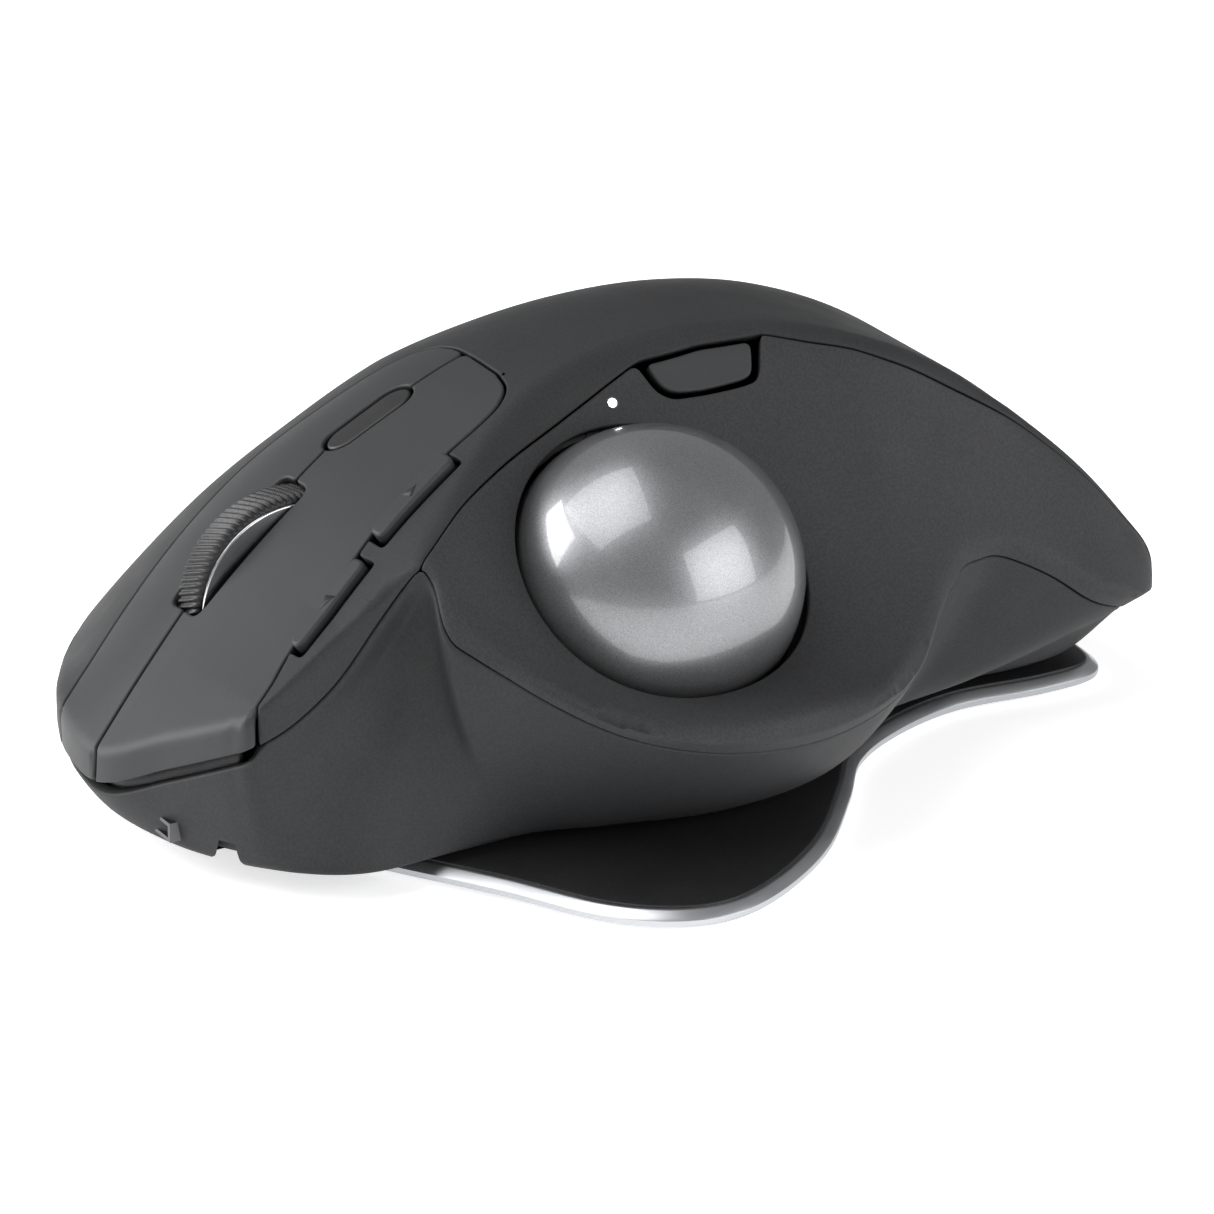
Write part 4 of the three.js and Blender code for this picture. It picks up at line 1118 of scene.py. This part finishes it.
def make_tyre():
    """Rubber tread with slanted ribs."""
    sides, across = 480, 22
    ribs = 96
    half_w = 2.3
    section = []
    for k in range(across + 1):
        s = -1 + 2 * k / across
        x = half_w * math.copysign(abs(s) ** 0.85, s)
        crown_drop = 0.9 * abs(s) ** 5
        section.append((x, 12.42 - crown_drop, 1 - abs(s) ** 6))
    verts, faces = [], []
    for i in range(sides):
        a = 2 * math.pi * i / sides
        for x, r, tread in section:
            phase = (a / (2 * math.pi) * ribs + x * 0.5) % 1.0
            rib = min(max((abs(phase - 0.5) - 0.17) / 0.16, 0), 1)
            radius = r + 0.08 - 0.42 * tread * (1 - rib) if tread > 0 else r
            verts.append((x, radius * math.cos(a), radius * math.sin(a)))
        for x in (half_w, 0.6 * half_w, -0.6 * half_w, -half_w):
            r = 11.1 if abs(x) == half_w else 10.9
            verts.append((x, r * math.cos(a), r * math.sin(a)))
    n = len(section) + 4
    for i in range(sides):
        j = (i + 1) % sides
        for k in range(n):
            m = (k + 1) % n
            faces.append((i * n + k, j * n + k, j * n + m, i * n + m))
    verts = np.array(verts) + WHEEL_C
    build("tyre_skin", verts, flip_if_needed(verts, faces), "wheel", rubber,
          replaces=("wheel_tyre",))


make_tyre()


def make_rim(name, side, node):
    profile = [(3.2, 1.8), (10.85, 1.8), (10.95, 2.32), (11.45, 2.36), (11.3, 2.52),
               (10.4, 2.62), (9.0, 2.68), (7.2, 2.74), (5.4, 2.79), (3.2, 2.79)]
    points = round_profile([(r, d * side) for r, d in profile], 0.4, 5)
    verts, faces = lathe(points, 160, WHEEL_C, (1, 0, 0))
    build(name, verts, flip_if_needed(verts, faces), "wheel", chrome,
          replaces=(node,))


make_rim("rim_left_skin", -1, "wheel_rim_left")
make_rim("rim_right_skin", 1, "wheel_rim_right")


# ---------------------------------------------------------------- base plate

def closed_spline(points, count):
    p = np.asarray(points, float)
    n = len(p)
    out = []
    for i in range(n):
        a, b, c, d = p[i - 1], p[i], p[(i + 1) % n], p[(i + 2) % n]
        for t in np.linspace(0, 1, 16, endpoint=False):
            out.append(0.5 * (2 * b + (c - a) * t + (2 * a - 5 * b + 4 * c - d) * t * t
                              + (3 * b - a - 3 * c + d) * t ** 3))
    out.append(out[0])
    line = resample(out, np.sum(np.linalg.norm(np.diff(out, axis=0), axis=1)) / count)[:-1]
    area = np.sum(line[:, 0] * np.roll(line[:, 1], -1) - np.roll(line[:, 0], -1) * line[:, 1])
    return line if area > 0 else line[::-1]


def inset(line, distance):
    t = np.roll(line, -1, axis=0) - np.roll(line, 1, axis=0)
    t /= np.linalg.norm(t, axis=1, keepdims=True)
    return line + np.column_stack([-t[:, 1], t[:, 0]]) * distance


SHARP_EDGE = 30  # degrees
plate_line = closed_spline(PLATE, 420)


def plate_piece(name, profile, mat, node):
    """A flat piece with the plate's outline; profile is (inset, height) from low to high."""
    n = len(plate_line)
    verts = np.vstack([np.column_stack([inset(plate_line, d), np.full(n, z)])
                       for d, z in profile])
    faces = [tuple(reversed(range(n)))]
    for k in range(len(profile) - 1):
        for i in range(n):
            j = (i + 1) % n
            faces.append((k * n + i, k * n + j, (k + 1) * n + j, (k + 1) * n + i))
    faces.append(tuple(range((len(profile) - 1) * n, len(profile) * n)))
    obj = build(name, verts, faces, "base", mat, None, (node,))
    bm = bmesh.new()
    bm.from_mesh(obj.data)
    bmesh.ops.triangulate(bm, faces=[f for f in bm.faces if len(f.verts) > 4])
    bm.to_mesh(obj.data)
    bm.free()
    obj.data.set_sharp_from_angle(angle=math.radians(SHARP_EDGE))


plate_piece("plate_skin", [(0.35, 0.5), (0.08, 0.62), (0.0, 0.85), (0.0, 1.35),
                           (0.12, 1.5), (0.95, 2.16), (1.1, 2.24), (1.35, 2.28)],
            steel, "base_plate")
plate_piece("film_skin", [(1.45, 2.3), (1.45, 2.46), (1.55, 2.52), (1.75, 2.54)],
            film, "plate_cover")

# ---------------------------------------------------------------- floor, light, camera

def stage_mesh(name, verts, faces, mat):
    mesh = bpy.data.meshes.new(name)
    mesh.from_pydata(verts, [], faces)
    obj = bpy.data.objects.new(name, mesh)
    bpy.context.scene.collection.objects.link(obj)
    mesh.materials.append(mat)
    return obj


paper = material("studio_paper", (0.9, 0.9, 0.9), 0.9, vary=0.005, rough_vary=0.02,
                 emission=((1.0, 1.0, 1.0), 0.6))
size = 3.0
stage_mesh("floor", [(-size, -size, -0.0002), (size, -size, -0.0002),
                     (size, size, -0.0002), (-size, size, -0.0002)], [(0, 1, 2, 3)], paper)

bpy.context.scene.view_settings.view_transform = "Standard"
world = bpy.data.worlds.new("studio")
bpy.context.scene.world = world
world.use_nodes = True
world.node_tree.nodes["Background"].inputs[0].default_value = (1, 1, 1, 1)
world.node_tree.nodes["Background"].inputs[1].default_value = 0.3


def area(name, place, look_at, width, height, power):
    lamp = bpy.data.lights.new(name, "AREA")
    lamp.shape = "RECTANGLE"
    lamp.size = width
    lamp.size_y = height
    lamp.energy = power
    obj = bpy.data.objects.new(name, lamp)
    bpy.context.scene.collection.objects.link(obj)
    obj.location = place
    aim = Vector(look_at) - Vector(place)
    obj.rotation_euler = aim.to_track_quat("-Z", "Y").to_euler()
    return obj


PHI, TILT = math.radians(29.8), math.radians(22.2)
FORWARD = Vector((math.cos(PHI) * math.cos(TILT), -math.sin(PHI) * math.cos(TILT),
                  -math.sin(TILT)))
RIGHT = FORWARD.cross(Vector((0, 0, 1))).normalized()
UP = RIGHT.cross(FORWARD)
TARGET = Vector((0.003, 0.0013, 0.022))


def placed(right, up, back):
    """A point so far right, up and nearer the camera than the target, in metres."""
    return TARGET + RIGHT * right + UP * up - FORWARD * back


area("key_softbox", placed(-0.62, 1.0, 0.55), TARGET, 1.3, 1.1, 13.0)
area("front_softbox", placed(-1.0, 0.3, 0.0), TARGET, 0.7, 0.7, 12.0)
area("fill_softbox", placed(0.9, 0.15, 0.7), TARGET, 1.1, 0.8, 9.0)

camera_data = bpy.data.cameras.new("camera")
camera = bpy.data.objects.new("camera", camera_data)
bpy.context.scene.collection.objects.link(camera)
DISTANCE = 0.728  # metres
PICTURE = 1214  # pixels across
PX_PER_MM = 8.72  # at the target
camera.location = TARGET - FORWARD * DISTANCE
camera.rotation_euler = FORWARD.to_track_quat("-Z", "Y").to_euler()
camera_data.sensor_width = 36
camera_data.lens = 36 * PX_PER_MM * 1000 * DISTANCE / PICTURE
camera_data.shift_x = 22 / PICTURE
camera_data.shift_y = -50 / PICTURE
camera_data.clip_end = 20
bpy.context.scene.camera = camera
